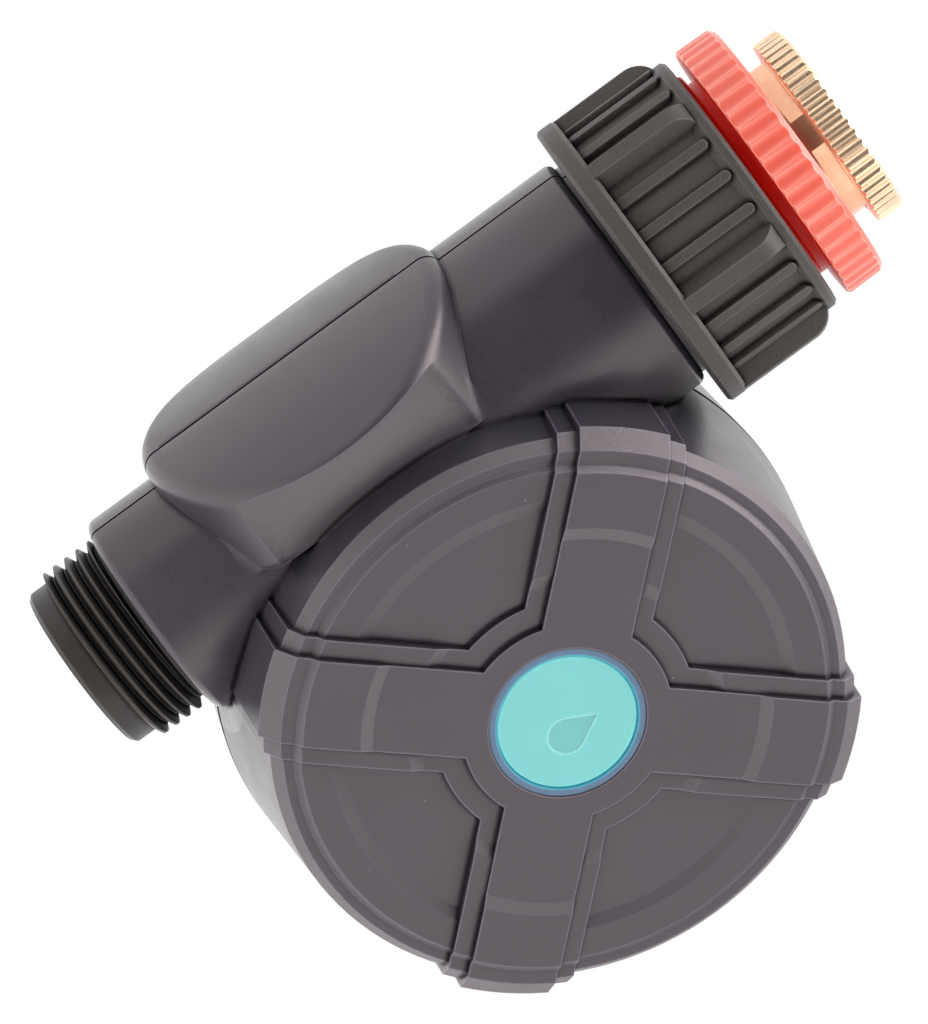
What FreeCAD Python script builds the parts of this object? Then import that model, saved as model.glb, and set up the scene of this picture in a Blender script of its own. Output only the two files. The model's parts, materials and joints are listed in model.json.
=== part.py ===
import FreeCAD, Part
import math
import os

# Garden water timer that screws onto a tap. All sizes are in millimetres.
# X runs across from the water tube to the drum, +Y to the back, +Z up the tube to the tap.
# Heights are worked out from the drum's axis. On export everything moves down by inlet_top,
# so that the origin is the centre of the inlet's mouth, where the timer hangs on the tap.
V = FreeCAD.Vector

# Pipe threads: outside diameter and pitch, as parallel pipe threads have them
g12_major, g12_pitch = 20.955, 1.814
g34_major, g34_pitch = 26.441, 1.814
g1_major, g1_pitch = 33.249, 2.309
thread_depth_share = 0.6403
thread_flank = 27.5
thread_root_land = 0.12
thread_core_inset = 0.06
thread_start = 0.5
thread_relief = 1.2
thread_overcut = 0.3

# Larger than the whole timer, for cuts that go right through
far = 200.0

# Casing
wall = 1.9
post_root = 0.2
seam_gap = 0.36
tongue_inset = 1.0
tongue_reach = 1.5
tongue_clearance = 0.08
tongue_root = 0.5
tube_r_outlet = 15.1
tube_r_inlet = 17.5
tube_outlet_end = -36.4
tube_inlet_end = 40.95
tube_edge_radius = 1.2
neck_gap = 0.6
neck_ring_r, neck_ring_inner_r = 16.4, 14.9
neck_ring_lap = 0.7
drum_x = 34.1
drum_front_y = -27.6
drum_back_y = 20.0
drum_seam_r = 41.6
drum_back_r = 40.2
drum_back_bevel = 1.8
plain_floor_margin = 0.3
plain_rim_margin = 0.2

# Raised cross on the drum's front: three levels, the cross, its ledge and the floor
level_step = 0.9
arm_half_width = 6.1
ledge_width = 2.6
hub_r = 14.1
hub_ledge_width = 3.3
arm_tilt = 45.0
rise_height = 0.5
rise_inner_r = (26.0, 19.6, 29.6)
rise_run = 1.7
rim_step_r = 35.35
rim_step_run = 0.8
rim_step_drop = 0.7
chamfer_inner_r = (38.15, 37.9, 37.5)
chamfer_outer_r = (40.65, 39.75, 38.8)
chamfer_outer_y = (-25.3, -24.6, -23.9)
seam_taper = 0.15

# Hump on the side of the tube away from the drum
hump_z = -1.75
hump_r = 23.6
hump_top = 19.3
hump_crown_r = 54.0
hump_edge_radius = 2.4
hump_corner_half = 15.85
hump_waist_x = 16.0
shaving_play = 0.02
shaving_overrun = 0.3
hump_foot_x = 3.6
hump_wall_at_corner = 0.7
hump_wall_at_foot = 0.5

# Button and its ring, in the middle of the drum's front
button_r = 9.38
button_travel = 0.6
button_recess = 0.3
button_thickness = 4.85
button_flange_r = 10.35
button_flange_thickness = 0.65
button_gap = 0.2
button_edge_radius = 0.3
button_post_r = 1.8
button_post_play = 0.05
drop_r, drop_reach, drop_depth = 2.5, 4.9, 0.2
drop_x, drop_z = 1.6, -1.2
ring_r = 10.6
ring_wall = 1.02
ring_flange_r = 12.2
ring_flange_thickness = 1.0
glue_gap = 0.05

# Circuit board and what stands on it
board_r = 29.5
board_front_y = -18.9
board_thickness = 1.6
board_cut_x = 6.0
board_post_ring_r = 24.0
board_post_angles = (60.0, 180.0, 300.0)
board_post_r = 2.4
board_screw_r = 1.0
board_screw_length = 5.0
board_head_r, board_head_thickness = 1.9, 1.0
board_hole_play = 0.2
switch_side = 6.0
switch_height = 1.6
plunger_r = 1.2
plunger_height = 0.4
led_ring_r = 11.3
led_count = 4
led_half_size = (0.8, 0.8, 0.4)
radio_offset = 18.0
radio_base_thickness = 0.8
radio_can_height = 1.8

# Valve: pipe, ball, seats and stem
pipe_r = 12.3
pipe_chamber_r = 13.1
pipe_bore_r = 9.0
chamber_bore_r = 10.0
chamber_low, chamber_high = -15.0, 18.0
outlet_tip = -48.1
outlet_land = 3.5
outlet_tip_r = 12.0
outlet_relief = 0.9
pipe_rib_width = 1.5
pipe_rib_play = 0.2
pipe_hole_clearance = 0.12
seal_skin = 0.02
ball_r = 9.5
ball_port_r = 6.0
seat_bore_r = 6.2
seat_shoulder = 9.5
seat_lip = 5.9
retainer_length = 6.0
stem_r = 3.0
stem_fit = 0.05
stem_head_r = 4.2
stem_head_thickness = 1.5
tang_thickness = 2.4
tang_width = 9.0
tang_depth = 1.5
seal_ring_wire = 0.5
seal_places = (13.3, 15.4)
boss_r = 6.0
boss_end_x = 16.8
seat_web = 3.5
seat_web_inset = 0.8
seat_fit = 0.03
stem_shoulder_x = 11.6
stem_head_play = 0.1
stem_flat_depth = 0.6

# Gear train between the motor and the valve's stem
gear_module = 0.8
pressure_angle = 25.0
stem_gear_teeth = 36
idler_small_teeth = 12
idler_big_teeth = 26
pinion_teeth = 12
gear_backlash = 0.12
gear_width = 2.5
gear_gap = 0.3
plate_thickness = 1.2
plate_seat_gap = 0.1
gear_hub_r = 5.0
gear_hub_height = 1.0
gear_press = 0.02
gear_windows = 6
gear_window_r, gear_window_ring_r = 2.6, 9.0
axle_r = 1.0
axle_fit = 0.06
pinion_drop = 11.0
pillar_r = 2.0
pillar_places = ((-14.4, -13.0), (12.6, -13.0), (12.6, 12.9))
gearbox_screw_r = 0.9
gearbox_screw_length = 6.0
gearbox_head_r, gearbox_head_thickness = 1.7, 1.0
stem_hole_play = 0.3
shaft_hole_play = 0.4
motor_r = 6.0
motor_length = 20.0
motor_shaft_r = 1.0
shaft_press = 0.01
shaft_fit = 0.1
shaft_in_motor = 4.0
motor_boss_length = 1.2
plate_y = (-16.9, 14.8)
plate_z = (-15.5, 23.5)

# Batteries, two AAA cells, and the cover behind them
cell_r = 5.25
cell_length = 44.5
cell_nub_r = 1.9
cell_nub_length = 1.0
cell_gap = 0.15
cell_lift = 0.2
bay_x = 39.0
bay_wall = 1.5
contact_room = 3.95
bay_half_z = cell_length / 2 + contact_room
bay_floor_y = 5.8
bay_play = 0.275
bay_frame = 1.2
cover_half_x = 13.5
cover_margin = 6.3
cover_half_z = bay_half_z + cover_margin
cover_corner_r = 6.0
cover_thickness = 2.0
cover_gap = 0.2
cover_edge_radius = 0.5
grip_ribs, grip_step = 5, 3.2
grip_half_length, grip_half_width, grip_height = 8.0, 0.6, 0.5
gasket_thickness = 1.0
gasket_squeeze_gap = 0.03
cover_screw_margin = 3.4
cover_screw_z = bay_half_z + cover_screw_margin
cover_screw_r = 1.2
cover_head_r, cover_head_thickness = 2.3, 1.0
cover_screw_length = 9.0
cover_screw_play = 0.15
cover_post_wall = 1.6
cover_post_floor = 2.0
contact_thickness = 0.4
contact_seat = 0.02
contact_half_width = 4.0
contact_height = 9.0
contact_pad_r = 2.6
contact_wire_r = 0.3
contact_coil_r = 3.0
contact_turns = 3

# Shell screws
shell_screw_places = ((16.1, 27.5), (16.1, -27.5), (59.4, 21.2), (59.4, -21.2), (67.1, 0.0))
shell_post_r = 2.8
shell_screw_r = 1.25
shell_screw_length = 24.0
shell_head_r = 2.6
shell_head_wall = 0.8
shell_head_thickness = 1.8
screw_slack = 0.03
head_slack = 0.3

# Collar nut, washer and the two reducers above it
swivel_gap = 0.3
collar_low = tube_inlet_end + neck_gap
collar_high = 60.6
collar_flange_r = 21.7
collar_flange_thickness = 2.95
collar_body_r = 18.75
collar_band_r = 19.5
collar_band_low, collar_band_slope = 58.1, 1.0
collar_wing_r = 21.6
collar_wing_high = 59.3
collar_wing_corner = 3.6
collar_wing_count = 6
collar_wing_base, collar_wing_top = 4.8, 2.3
collar_rib_r = 19.7
collar_rib_high = 58.6
collar_rib_width = 1.5
collar_ribs_between = 3
collar_first_wing = 26.5
collar_lip_thickness = 3.3
pipe_flange_r = 15.0
pipe_flange_thickness = 2.0
washer_thickness = 2.0
face_gap = 0.01
screw_joint_gap = 0.15
filter_r = 9.6
filter_depth = 7.0
filter_wall = 0.8
filter_rim = 0.6
red_ring_low, red_ring_high = 62.45, 68.25
red_ring_r_low, red_ring_r_high = 19.45, 19.35
red_ring_bevel = 0.7
red_scallops = 48
red_scallop_depth = 0.3
red_scallop_share = 0.85
red_bore_r = 9.0
red_socket_depth = 12.0
brass_head_low, inlet_top = 71.25, 75.1
brass_head_r_low, brass_head_r_high = 14.15, 14.1
brass_head_bevel = 0.4
brass_neck_r = 11.95
brass_knurls = 56
brass_knurl_depth = 0.35
brass_knurl_share = 0.42
brass_flat_half = 11.3
brass_bore_r = 7.5
inlet_thread_length = 12.0
inlet_thread_runout = 2.0
inlet_crest_r = 9.55
brass_washer_thickness = 1.6
brass_washer_play = 0.2
brass_washer_inset = 0.5
brass_neck_gap = 0.6
brass_flat_low = 0.3


def rod(r, low, high, x=0.0, y=0.0):
    return Part.makeCylinder(r, high - low, V(x, y, low), V(0, 0, 1))


def rod_x(r, low, high, y=0.0, z=0.0):
    return Part.makeCylinder(r, high - low, V(low, y, z), V(1, 0, 0))


def rod_y(r, low, high, x=0.0, z=0.0):
    return Part.makeCylinder(r, high - low, V(x, low, z), V(0, 1, 0))


def block(x, y, z):
    return Part.makeBox(x[1] - x[0], y[1] - y[0], z[1] - z[0], V(x[0], y[0], z[0]))


def tube_z(outer, inner, low, high):
    return rod(outer, low, high).cut(rod(inner, low - 1, high + 1))


def turned_z(outline):
    """A solid turned about the water tube from an outline of radius and height."""
    points = [V(r, 0, z) for r, z in outline]
    face = Part.Face(Part.makePolygon(points + points[:1]))
    return face.revolve(V(0, 0, 0), V(0, 0, 1), 360)


def turned_y(outline, x=drum_x, z=0.0):
    """A solid turned about a line along Y from an outline of radius and depth."""
    points = [V(x + r, y, z) for r, y in outline]
    face = Part.Face(Part.makePolygon(points + points[:1]))
    return face.revolve(V(x, 0, z), V(0, 1, 0), 360)


def without(shape, cutters):
    for cutter in cutters:
        shape = shape.cut(cutter)
    return shape


def around(count, step, start=0.0):
    return [start + step * i for i in range(count)]


def rounded_rectangle(x, z, corner, low, high):
    """A plate along Y with four rounded corners."""
    plate = block(x, (low, high), z)
    edges = [e for e in plate.Edges if abs(e.tangentAt(e.FirstParameter).y) > 0.99]
    return plate.makeFillet(corner, edges)


def thread_crest(major):
    return major / 2


def thread_root(major, pitch):
    return major / 2 - thread_depth_share * pitch


def helical_groove(major, pitch, low, high):
    """The space between the turns of a pipe thread, from one height to another."""
    root = thread_root(major, pitch)
    depth = thread_crest(major) - root + thread_overcut
    half_root = pitch * thread_root_land / 2
    half_mouth = half_root + depth * math.tan(math.radians(thread_flank))
    turns = math.ceil((high - low) / pitch) + 2
    corners = [V(root, 0, -half_root), V(root + depth, 0, -half_mouth),
               V(root + depth, 0, half_mouth), V(root, 0, half_root)]
    path = Part.makeLongHelix(pitch, pitch * turns, root)
    groove = Part.Wire(path.Edges).makePipeShell([Part.makePolygon(corners + corners[:1])], True, True)
    groove.translate(V(0, 0, low - pitch))
    return groove


def helical_ridge(major, pitch, low, high):
    """The turns of a nut's thread as a groove cut outward from its bore."""
    root = thread_root(major, pitch)
    depth = thread_crest(major) - root
    half_crest = pitch * thread_root_land / 2
    half_mouth = half_crest + (depth + thread_overcut) * math.tan(math.radians(thread_flank))
    inner = root - thread_overcut
    outer = root + depth
    turns = math.ceil((high - low) / pitch) + 1
    corners = [V(inner, 0, -half_mouth), V(outer, 0, -half_crest),
               V(outer, 0, half_crest), V(inner, 0, half_mouth)]
    path = Part.makeLongHelix(pitch, pitch * turns, inner)
    groove = Part.Wire(path.Edges).makePipeShell([Part.makePolygon(corners + corners[:1])], True, True)
    groove.translate(V(0, 0, low))
    return groove


def male_thread(major, pitch, low, high):
    """A threaded sleeve: its turns stand on a core a little inside the thread's root."""
    crests = rod(thread_crest(major), low, high)
    turns = crests.cut(helical_groove(major, pitch, low, high))
    return turns.fuse(rod(thread_root(major, pitch) - thread_core_inset, low, high))


def screw_y(head_r, head_thickness, shaft_r, length, head_y, x, z):
    """A cross-head screw driven from the back towards the front, its head's back at head_y."""
    head = rod_y(head_r, head_y - head_thickness, head_y, x, z)
    shaft = rod_y(shaft_r, head_y - length, head_y - head_thickness, x, z)
    slot_depth = head_thickness * 0.5
    slot_half = head_r * 0.13
    slot_reach = head_r * 0.6
    across = block((x - slot_reach, x + slot_reach), (head_y - slot_depth, head_y + 1),
                   (z - slot_half, z + slot_half))
    upright = block((x - slot_half, x + slot_half), (head_y - slot_depth, head_y + 1),
                    (z - slot_reach, z + slot_reach))
    return head.fuse(shaft).cut(across).cut(upright)


# Casing

def plain_floor_y():
    """Depth of the plain drum's front, a little behind the lowest level of the relief."""
    return drum_front_y + 2 * level_step + plain_floor_margin


def plain_drum(inset):
    """The drum without its cross, drawn in by inset on every side."""
    floor_y = plain_floor_y() + inset
    back_y = drum_back_y - inset
    front_r = chamfer_outer_r[2] - plain_rim_margin
    back_r = drum_back_r - inset
    outline = [(0, floor_y), (front_r - inset, floor_y), (drum_seam_r - 2 * seam_taper - inset, 0),
               (back_r, back_y - drum_back_bevel), (back_r - drum_back_bevel, back_y), (0, back_y)]
    return turned_y(outline)


def tube_casing(inset):
    """The tube's casing: thin towards the outlet, thick towards the inlet."""
    thin = rod(tube_r_outlet - inset, tube_outlet_end + inset, hump_z)
    thick = rod(tube_r_inlet - inset, hump_z, tube_inlet_end - inset)
    if inset == 0:
        outlet_edge = [e for e in thin.Edges if e.BoundBox.ZMax < tube_outlet_end + 0.1]
        inlet_edge = [e for e in thick.Edges if e.BoundBox.ZMin > tube_inlet_end - 0.1]
        thin = thin.makeFillet(tube_edge_radius, outlet_edge)
        thick = thick.makeFillet(tube_edge_radius, inlet_edge)
        ring_top = collar_low + neck_ring_lap
        thick = thick.fuse(tube_z(neck_ring_r, neck_ring_inner_r, tube_inlet_end - 1, ring_top))
    return thin.fuse(thick)


def hump_sides(inset):
    """Half the width and the reach of the corners where the hump's round ends meet its front and back."""
    r = hump_r - inset
    half = hump_corner_half - inset * hump_wall_at_corner
    return half, math.sqrt(r * r - half * half)


def hump_ring(inset, x):
    """The hump's round outline at one height, with its corners as vertices."""
    r = hump_r - inset
    half, side = hump_sides(inset)
    corners = [V(x, -side, hump_z - half), V(x, -side, hump_z + half),
               V(x, side, hump_z + half), V(x, side, hump_z - half)]
    middles = [V(x, -r, hump_z), V(x, 0, hump_z + r), V(x, r, hump_z), V(x, 0, hump_z - r)]
    edges = []
    for i, middle in enumerate(middles):
        edges.append(Part.Arc(corners[i], middle, corners[(i + 1) % 4]).toShape())
    return Part.Wire(edges)


def hump_shaving(inset, facing):
    """What is taken off the hump's front or back, from a round upper edge down to a straight lower one."""
    half, side = hump_sides(inset)
    r = hump_r - inset + shaving_play
    side = (side + shaving_play) * facing
    far_y = (hump_r + 5) * facing
    low_x = hump_foot(inset) + shaving_overrun
    rings = []
    for x in (low_x, -hump_waist_x):
        start, end = V(x, side, hump_z - half), V(x, side, hump_z + half)
        far_end, far_start = V(x, far_y, hump_z + half), V(x, far_y, hump_z - half)
        wall = Part.LineSegment(start, end)
        if x == -hump_waist_x:
            wall = Part.Arc(start, V(x, r * facing, hump_z), end)
        outside = [Part.LineSegment(end, far_end), Part.LineSegment(far_end, far_start),
                   Part.LineSegment(far_start, start)]
        rings.append(Part.Wire([line.toShape() for line in [wall] + outside]))
    return Part.makeLoft(rings, True, True)


def hump_foot(inset):
    return -hump_foot_x - inset * hump_wall_at_foot


def hump(inset):
    """A round block with a gently crowned top, whose front and back draw in to straight lower edges."""
    foot = hump_foot(inset)
    body = Part.Face(hump_ring(inset, foot)).extrude(V(-hump_top, 0, 0))
    crown = rod(hump_crown_r - inset, hump_z - 2 * hump_r, hump_z + 2 * hump_r, hump_crown_r - hump_top)
    body = body.common(crown)
    if inset == 0:
        rim = [e for e in body.Edges if e.CenterOfMass.x < -hump_top / 2 and not is_upright(e)]
        body = body.makeFillet(hump_edge_radius, rim)
    return without(body, [hump_shaving(inset, -1), hump_shaving(inset, 1)])


def is_upright(edge):
    box = edge.BoundBox
    return box.YLength < 0.01 and box.ZLength < 0.01


def casing(inset):
    return plain_drum(inset).multiFuse([tube_casing(inset), hump(inset)])


def level_outline(level):
    """Radius and depth of the drum's front at one level of its relief."""
    sunk = level * level_step
    inner = rise_inner_r[level]
    face_y = drum_front_y + sunk
    raised_y = face_y - rise_height
    ring_y = raised_y + rim_step_drop
    seam_r = drum_seam_r - level * seam_taper
    return [(0, face_y), (inner, face_y), (inner + rise_run, raised_y), (rim_step_r, raised_y),
            (rim_step_r + rim_step_run, ring_y), (chamfer_inner_r[level], ring_y),
            (chamfer_outer_r[level], chamfer_outer_y[level]), (seam_r, 0), (0, 0)]


def cross_prism(half_width, round_r):
    """The plan of the cross: a round hub and four arms, as a prism through the drum."""
    reach = drum_seam_r + 5
    low = drum_front_y - 5
    shapes = [rod_y(round_r, low, 0, drum_x)]
    for tilt in (arm_tilt, arm_tilt + 90):
        arm = block((-reach, reach), (low, 0), (-half_width, half_width))
        arm.rotate(V(0, 0, 0), V(0, 1, 0), tilt)
        arm.translate(V(drum_x, 0, 0))
        shapes.append(arm)
    return shapes[0].multiFuse(shapes[1:])


def drum_front():
    """The drum's front half with its raised cross and the ledge that runs round it."""
    floor = turned_y(level_outline(2))
    ledge_plan = cross_prism(arm_half_width + ledge_width, hub_r + hub_ledge_width)
    ledge = turned_y(level_outline(1)).common(ledge_plan)
    cross = turned_y(level_outline(0)).common(cross_prism(arm_half_width, hub_r))
    return floor.fuse(ledge).fuse(cross)


def half_space(back):
    """A large block behind or in front of the seam."""
    low, high = (seam_gap / 2, far) if back else (-far, -seam_gap / 2)
    return block((-far, far), (low, high), (-far, far))


def tongue(slack):
    """The lip of the rear shell that reaches into the front shell all along the seam."""
    band = block((-far, far), (-tongue_reach - slack, seam_gap / 2 + tongue_root), (-far, far))
    sleeve = casing(tongue_inset - slack).cut(casing(wall + 0.01))
    return sleeve.common(band)


def pipe_passage():
    """Holes at both ends of the casing that the pipe passes through."""
    low = rod(pipe_r + pipe_hole_clearance, tube_outlet_end - 1, tube_outlet_end + wall + 1)
    high = rod(pipe_r + pipe_hole_clearance, tube_inlet_end - wall - 1, tube_inlet_end + 1)
    return [low, high]


def board_posts():
    posts = []
    for angle in board_post_angles:
        x = drum_x + board_post_ring_r * math.cos(math.radians(angle))
        z = board_post_ring_r * math.sin(math.radians(angle))
        posts.append((x, z))
    return posts


def front_inner_y():
    """Depth of the drum's inner face behind the button."""
    return plain_floor_y() + wall


def front_shell():
    outer = drum_front().multiFuse([tube_casing(0), hump(0)]).common(half_space(False))
    shell = outer.cut(casing(wall))
    root_y = front_inner_y() - post_root
    posts = [rod_y(shell_post_r, root_y, -seam_gap / 2, x, z) for x, z in shell_screw_places]
    posts += [rod_y(board_post_r, root_y, board_front_y, x, z) for x, z in board_posts()]
    inside = casing(wall * 0.5)
    shell = shell.multiFuse([post.common(inside) for post in posts])
    cutters = [tongue(tongue_clearance), rod_y(ring_r + glue_gap, drum_front_y - 5, board_front_y, drum_x)]
    cutters += pipe_passage()
    screw_tip = drum_back_y - shell_head_thickness - shell_screw_length
    for x, z in shell_screw_places:
        cutters.append(rod_y(shell_screw_r + screw_slack, screw_tip - 1, 0, x, z))
    board_screw_tip = board_front_y - board_screw_length
    for x, z in board_posts():
        cutters.append(rod_y(board_screw_r + screw_slack, board_screw_tip, board_front_y, x, z))
    return without(shell, cutters)


def bay_size(grow):
    half_x = 2 * (cell_r + cell_gap) + bay_play + grow
    return (bay_x - half_x, bay_x + half_x), (-bay_half_z - grow, bay_half_z + grow)


def cover_outline(grow, low, high):
    return rounded_rectangle((bay_x - cover_half_x - grow, bay_x + cover_half_x + grow),
                             (-cover_half_z - grow, cover_half_z + grow), cover_corner_r + grow, low, high)


def cover_recess_y():
    return drum_back_y - cover_thickness - gasket_thickness


def rear_shell():
    back = plain_drum(0).multiFuse([tube_casing(0), hump(0)]).common(half_space(True))
    shell = back.cut(casing(wall))
    inside = casing(wall * 0.5)
    bay_x_outer, bay_z_outer = bay_size(bay_wall)
    bay_x_inner, bay_z_inner = bay_size(0)
    bay = block(bay_x_outer, (bay_floor_y - bay_wall, drum_back_y - wall), bay_z_outer)
    frame = cover_outline(bay_frame, cover_recess_y() - wall, drum_back_y - wall * 0.5)
    posts = [rod_y(shell_head_r + shell_head_wall, seam_gap / 2, drum_back_y - wall * 0.5, x, z)
             for x, z in shell_screw_places]
    cover_post_low = drum_back_y - cover_screw_length - cover_post_floor
    screw_posts = [rod_y(cover_screw_r + cover_post_wall, cover_post_low, drum_back_y - wall, bay_x, z)
                   for z in (-cover_screw_z, cover_screw_z)]
    inner_parts = [bay, frame] + posts + screw_posts
    shell = shell.multiFuse([part.common(inside) for part in inner_parts] + [tongue(0)])
    cutters = [block(bay_x_inner, (bay_floor_y, drum_back_y + 1), bay_z_inner),
               cover_outline(cover_gap, cover_recess_y(), drum_back_y + 1)]
    cutters += pipe_passage()
    for x, z in shell_screw_places:
        cutters.append(rod_y(shell_screw_r + head_slack, -5, drum_back_y + 1, x, z))
        cutters.append(rod_y(shell_head_r + head_slack, drum_back_y - 2 * shell_head_thickness,
                             drum_back_y + 1, x, z))
    for z in (-cover_screw_z, cover_screw_z):
        cutters.append(rod_y(cover_screw_r + cover_screw_play, drum_back_y - cover_screw_length - 1,
                             drum_back_y, bay_x, z))
    return without(shell, cutters)


def shell_screws():
    head_y = drum_back_y - shell_head_thickness
    screws = [screw_y(shell_head_r, shell_head_thickness, shell_screw_r, shell_screw_length, head_y, x, z)
              for x, z in shell_screw_places]
    return Part.makeCompound(screws)


# Button, ring and electronics

def button_front_y():
    return drum_front_y + button_recess


def ring_back_y():
    return button_front_y() + button_thickness


def button_flange_y():
    return ring_back_y() + button_gap


def water_drop(r, reach):
    """A water drop as a flat outline: a round foot of radius r and a point at reach above its middle."""
    tip = V(0, 0, reach)
    touch = math.asin(r / reach)
    left = V(-r * math.cos(touch), 0, r * math.sin(touch))
    right = V(r * math.cos(touch), 0, r * math.sin(touch))
    edges = [Part.LineSegment(tip, right).toShape(), Part.Arc(right, V(0, 0, -r), left).toShape(),
             Part.LineSegment(left, tip).toShape()]
    return Part.Face(Part.Wire(edges))


def button_cap():
    front = button_front_y()
    disc = rod_y(button_r, front, button_flange_y() + 0.1, drum_x)
    rim = [e for e in disc.Edges if e.BoundBox.YMax < front + 0.1]
    disc = disc.makeFillet(button_edge_radius, rim)
    flange = rod_y(button_flange_r, button_flange_y(), button_flange_y() + button_flange_thickness, drum_x)
    plunger_y = board_front_y - switch_height - plunger_height
    post = rod_y(button_post_r, button_flange_y(), plunger_y - button_travel - button_post_play, drum_x)
    drop = water_drop(drop_r, drop_reach).extrude(V(0, 2 * drop_depth, 0))
    drop.translate(V(drum_x + drop_x, front - drop_depth, drop_z))
    return disc.fuse(flange).fuse(post).cut(drop)


def light_ring():
    front = drum_front_y + button_recess * 0.5
    back = ring_back_y()
    flange_y = front_inner_y() + glue_gap
    sleeve = rod_y(ring_r, front, back, drum_x)
    flange = rod_y(ring_flange_r, flange_y, flange_y + ring_flange_thickness, drum_x)
    return sleeve.fuse(flange).cut(rod_y(ring_r - ring_wall, front - 1, back + 5, drum_x))


def circuit_board():
    board = rod_y(board_r, board_front_y, board_front_y + board_thickness, drum_x)
    board = board.common(block((board_cut_x, far), (-far, far), (-far, far)))
    return without(board, [rod_y(board_screw_r + board_hole_play, -far, 0, x, z) for x, z in board_posts()])


def board_screws():
    head_y = board_front_y + board_thickness + board_head_thickness
    return Part.makeCompound([screw_y(board_head_r, board_head_thickness, board_screw_r, board_screw_length,
                                      head_y, x, z) for x, z in board_posts()])


def tact_switch():
    half = switch_side / 2
    top_y = board_front_y - switch_height
    body = block((drum_x - half, drum_x + half), (top_y, board_front_y), (-half, half))
    plunger = rod_y(plunger_r, top_y - plunger_height, top_y, drum_x)
    return body.fuse(plunger)


def indicator_leds():
    leds = []
    half_length, height, half_width = led_half_size
    for angle in around(led_count, 360 / led_count, 45):
        led = block((-half_length, half_length), (board_front_y - height, board_front_y),
                    (-half_width, half_width))
        led.rotate(V(0, 0, 0), V(0, 1, 0), angle)
        led.translate(V(drum_x + led_ring_r * math.sin(math.radians(angle)), 0,
                        led_ring_r * math.cos(math.radians(angle))))
        leds.append(led)
    return Part.makeCompound(leds)


def radio_module():
    """A small board with its screening can and the bare end that holds the aerial."""
    x = drum_x + radio_offset
    base_y = board_front_y - radio_base_thickness
    base = block((x - 5, x + 7), (base_y, board_front_y), (-8, 8))
    can = block((x - 3.5, x + 3), (base_y - radio_can_height, base_y), (-6.5, 6.5))
    return base.fuse(can)


# Valve

def pipe_flange_low():
    return collar_low + collar_lip_thickness + swivel_gap


def valve_body():
    thread_high = tube_outlet_end - outlet_relief
    thread_low = outlet_tip + outlet_land
    top = pipe_flange_low() + pipe_flange_thickness
    rib_low = tube_outlet_end + wall + pipe_rib_play
    rib_high = tube_inlet_end - wall - pipe_rib_play
    tip_bevel = 0.6
    neck_z = thread_high + 0.4
    lower_rib_r = tube_r_outlet - wall - pipe_rib_play
    upper_rib_r = tube_r_inlet - wall - pipe_rib_play
    outline = [(0, outlet_tip), (outlet_tip_r - tip_bevel, outlet_tip),
               (outlet_tip_r, outlet_tip + tip_bevel), (outlet_tip_r, neck_z), (pipe_r, neck_z),
               (pipe_r, rib_low), (lower_rib_r, rib_low), (lower_rib_r, rib_low + pipe_rib_width),
               (pipe_r, rib_low + pipe_rib_width), (pipe_r, chamber_low), (pipe_chamber_r, chamber_low),
               (pipe_chamber_r, chamber_high), (pipe_r, chamber_high), (pipe_r, rib_high - pipe_rib_width),
               (upper_rib_r, rib_high - pipe_rib_width), (upper_rib_r, rib_high),
               (pipe_r, rib_high), (pipe_r, pipe_flange_low()), (pipe_flange_r, pipe_flange_low()),
               (pipe_flange_r, top), (0, top)]
    body = turned_z(outline).fuse(male_thread(g34_major, g34_pitch, thread_low, thread_high))
    body = body.fuse(rod_x(boss_r, 0, boss_end_x))
    bores = [rod(pipe_bore_r, outlet_tip - 1, -seat_shoulder - seat_web),
             rod(seat_bore_r + seat_web_inset, -20, 0), rod(chamber_bore_r, -seat_shoulder, top + 1),
             rod_x(stem_head_r + stem_head_play, 0, stem_shoulder_x),
             rod_x(stem_r + stem_fit, 0, boss_end_x + 1)]
    return without(body, bores)


def ball():
    globe = Part.makeSphere(ball_r)
    port = rod_y(ball_port_r, -far, far)
    half_slot = tang_thickness / 2 + stem_fit
    slot = block((ball_r - tang_depth, far), (-far, far), (-half_slot, half_slot))
    return globe.cut(port).cut(slot)


def seat(side):
    ring = tube_z(chamber_bore_r - seat_fit, seat_bore_r, seat_lip, seat_shoulder)
    ring = ring.cut(Part.makeSphere(ball_r + 0.02))
    if side < 0:
        ring = ring.mirror(V(0, 0, 0), V(0, 0, 1))
    return ring


def seat_retainer():
    top = seat_shoulder + retainer_length
    ring = tube_z(chamber_bore_r - seat_fit, seat_bore_r, seat_shoulder + 0.02, top)
    key_slot = block((-far, far), (-1, 1), (top - 1.5, far))
    return ring.cut(key_slot)


def stem():
    head_x = stem_shoulder_x - stem_head_play - stem_head_thickness
    top_x = gear_plane(0) + gear_width + gear_hub_height
    shaft = rod_x(stem_r, head_x, top_x)
    head = rod_x(stem_head_r, head_x, head_x + stem_head_thickness)
    tang_box = block((ball_r - tang_depth + 0.1, head_x + 0.5), (-tang_width / 2, tang_width / 2),
                     (-tang_thickness / 2, tang_thickness / 2))
    tang = tang_box.common(rod_x(stem_head_r, 0, 30))
    body = shaft.fuse(head).fuse(tang)
    half_groove = seal_ring_wire * 1.2
    groove_r = stem_r - 2 * seal_ring_wire
    core = rod_x(groove_r, 0, far)
    grooves = [rod_x(far, x - half_groove, x + half_groove).cut(core) for x in seal_places]
    flat = block((gear_plane(0) - gear_gap, far), (stem_r - stem_flat_depth, far), (-far, far))
    return without(body, grooves + [flat])


def stem_seals():
    ring_r = stem_r - seal_ring_wire
    rings = [Part.makeTorus(ring_r, seal_ring_wire, V(x, 0, 0), V(1, 0, 0)) for x in seal_places]
    return Part.makeCompound(rings)


# Gears

def base_plate_x():
    return boss_end_x + plate_seat_gap


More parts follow.
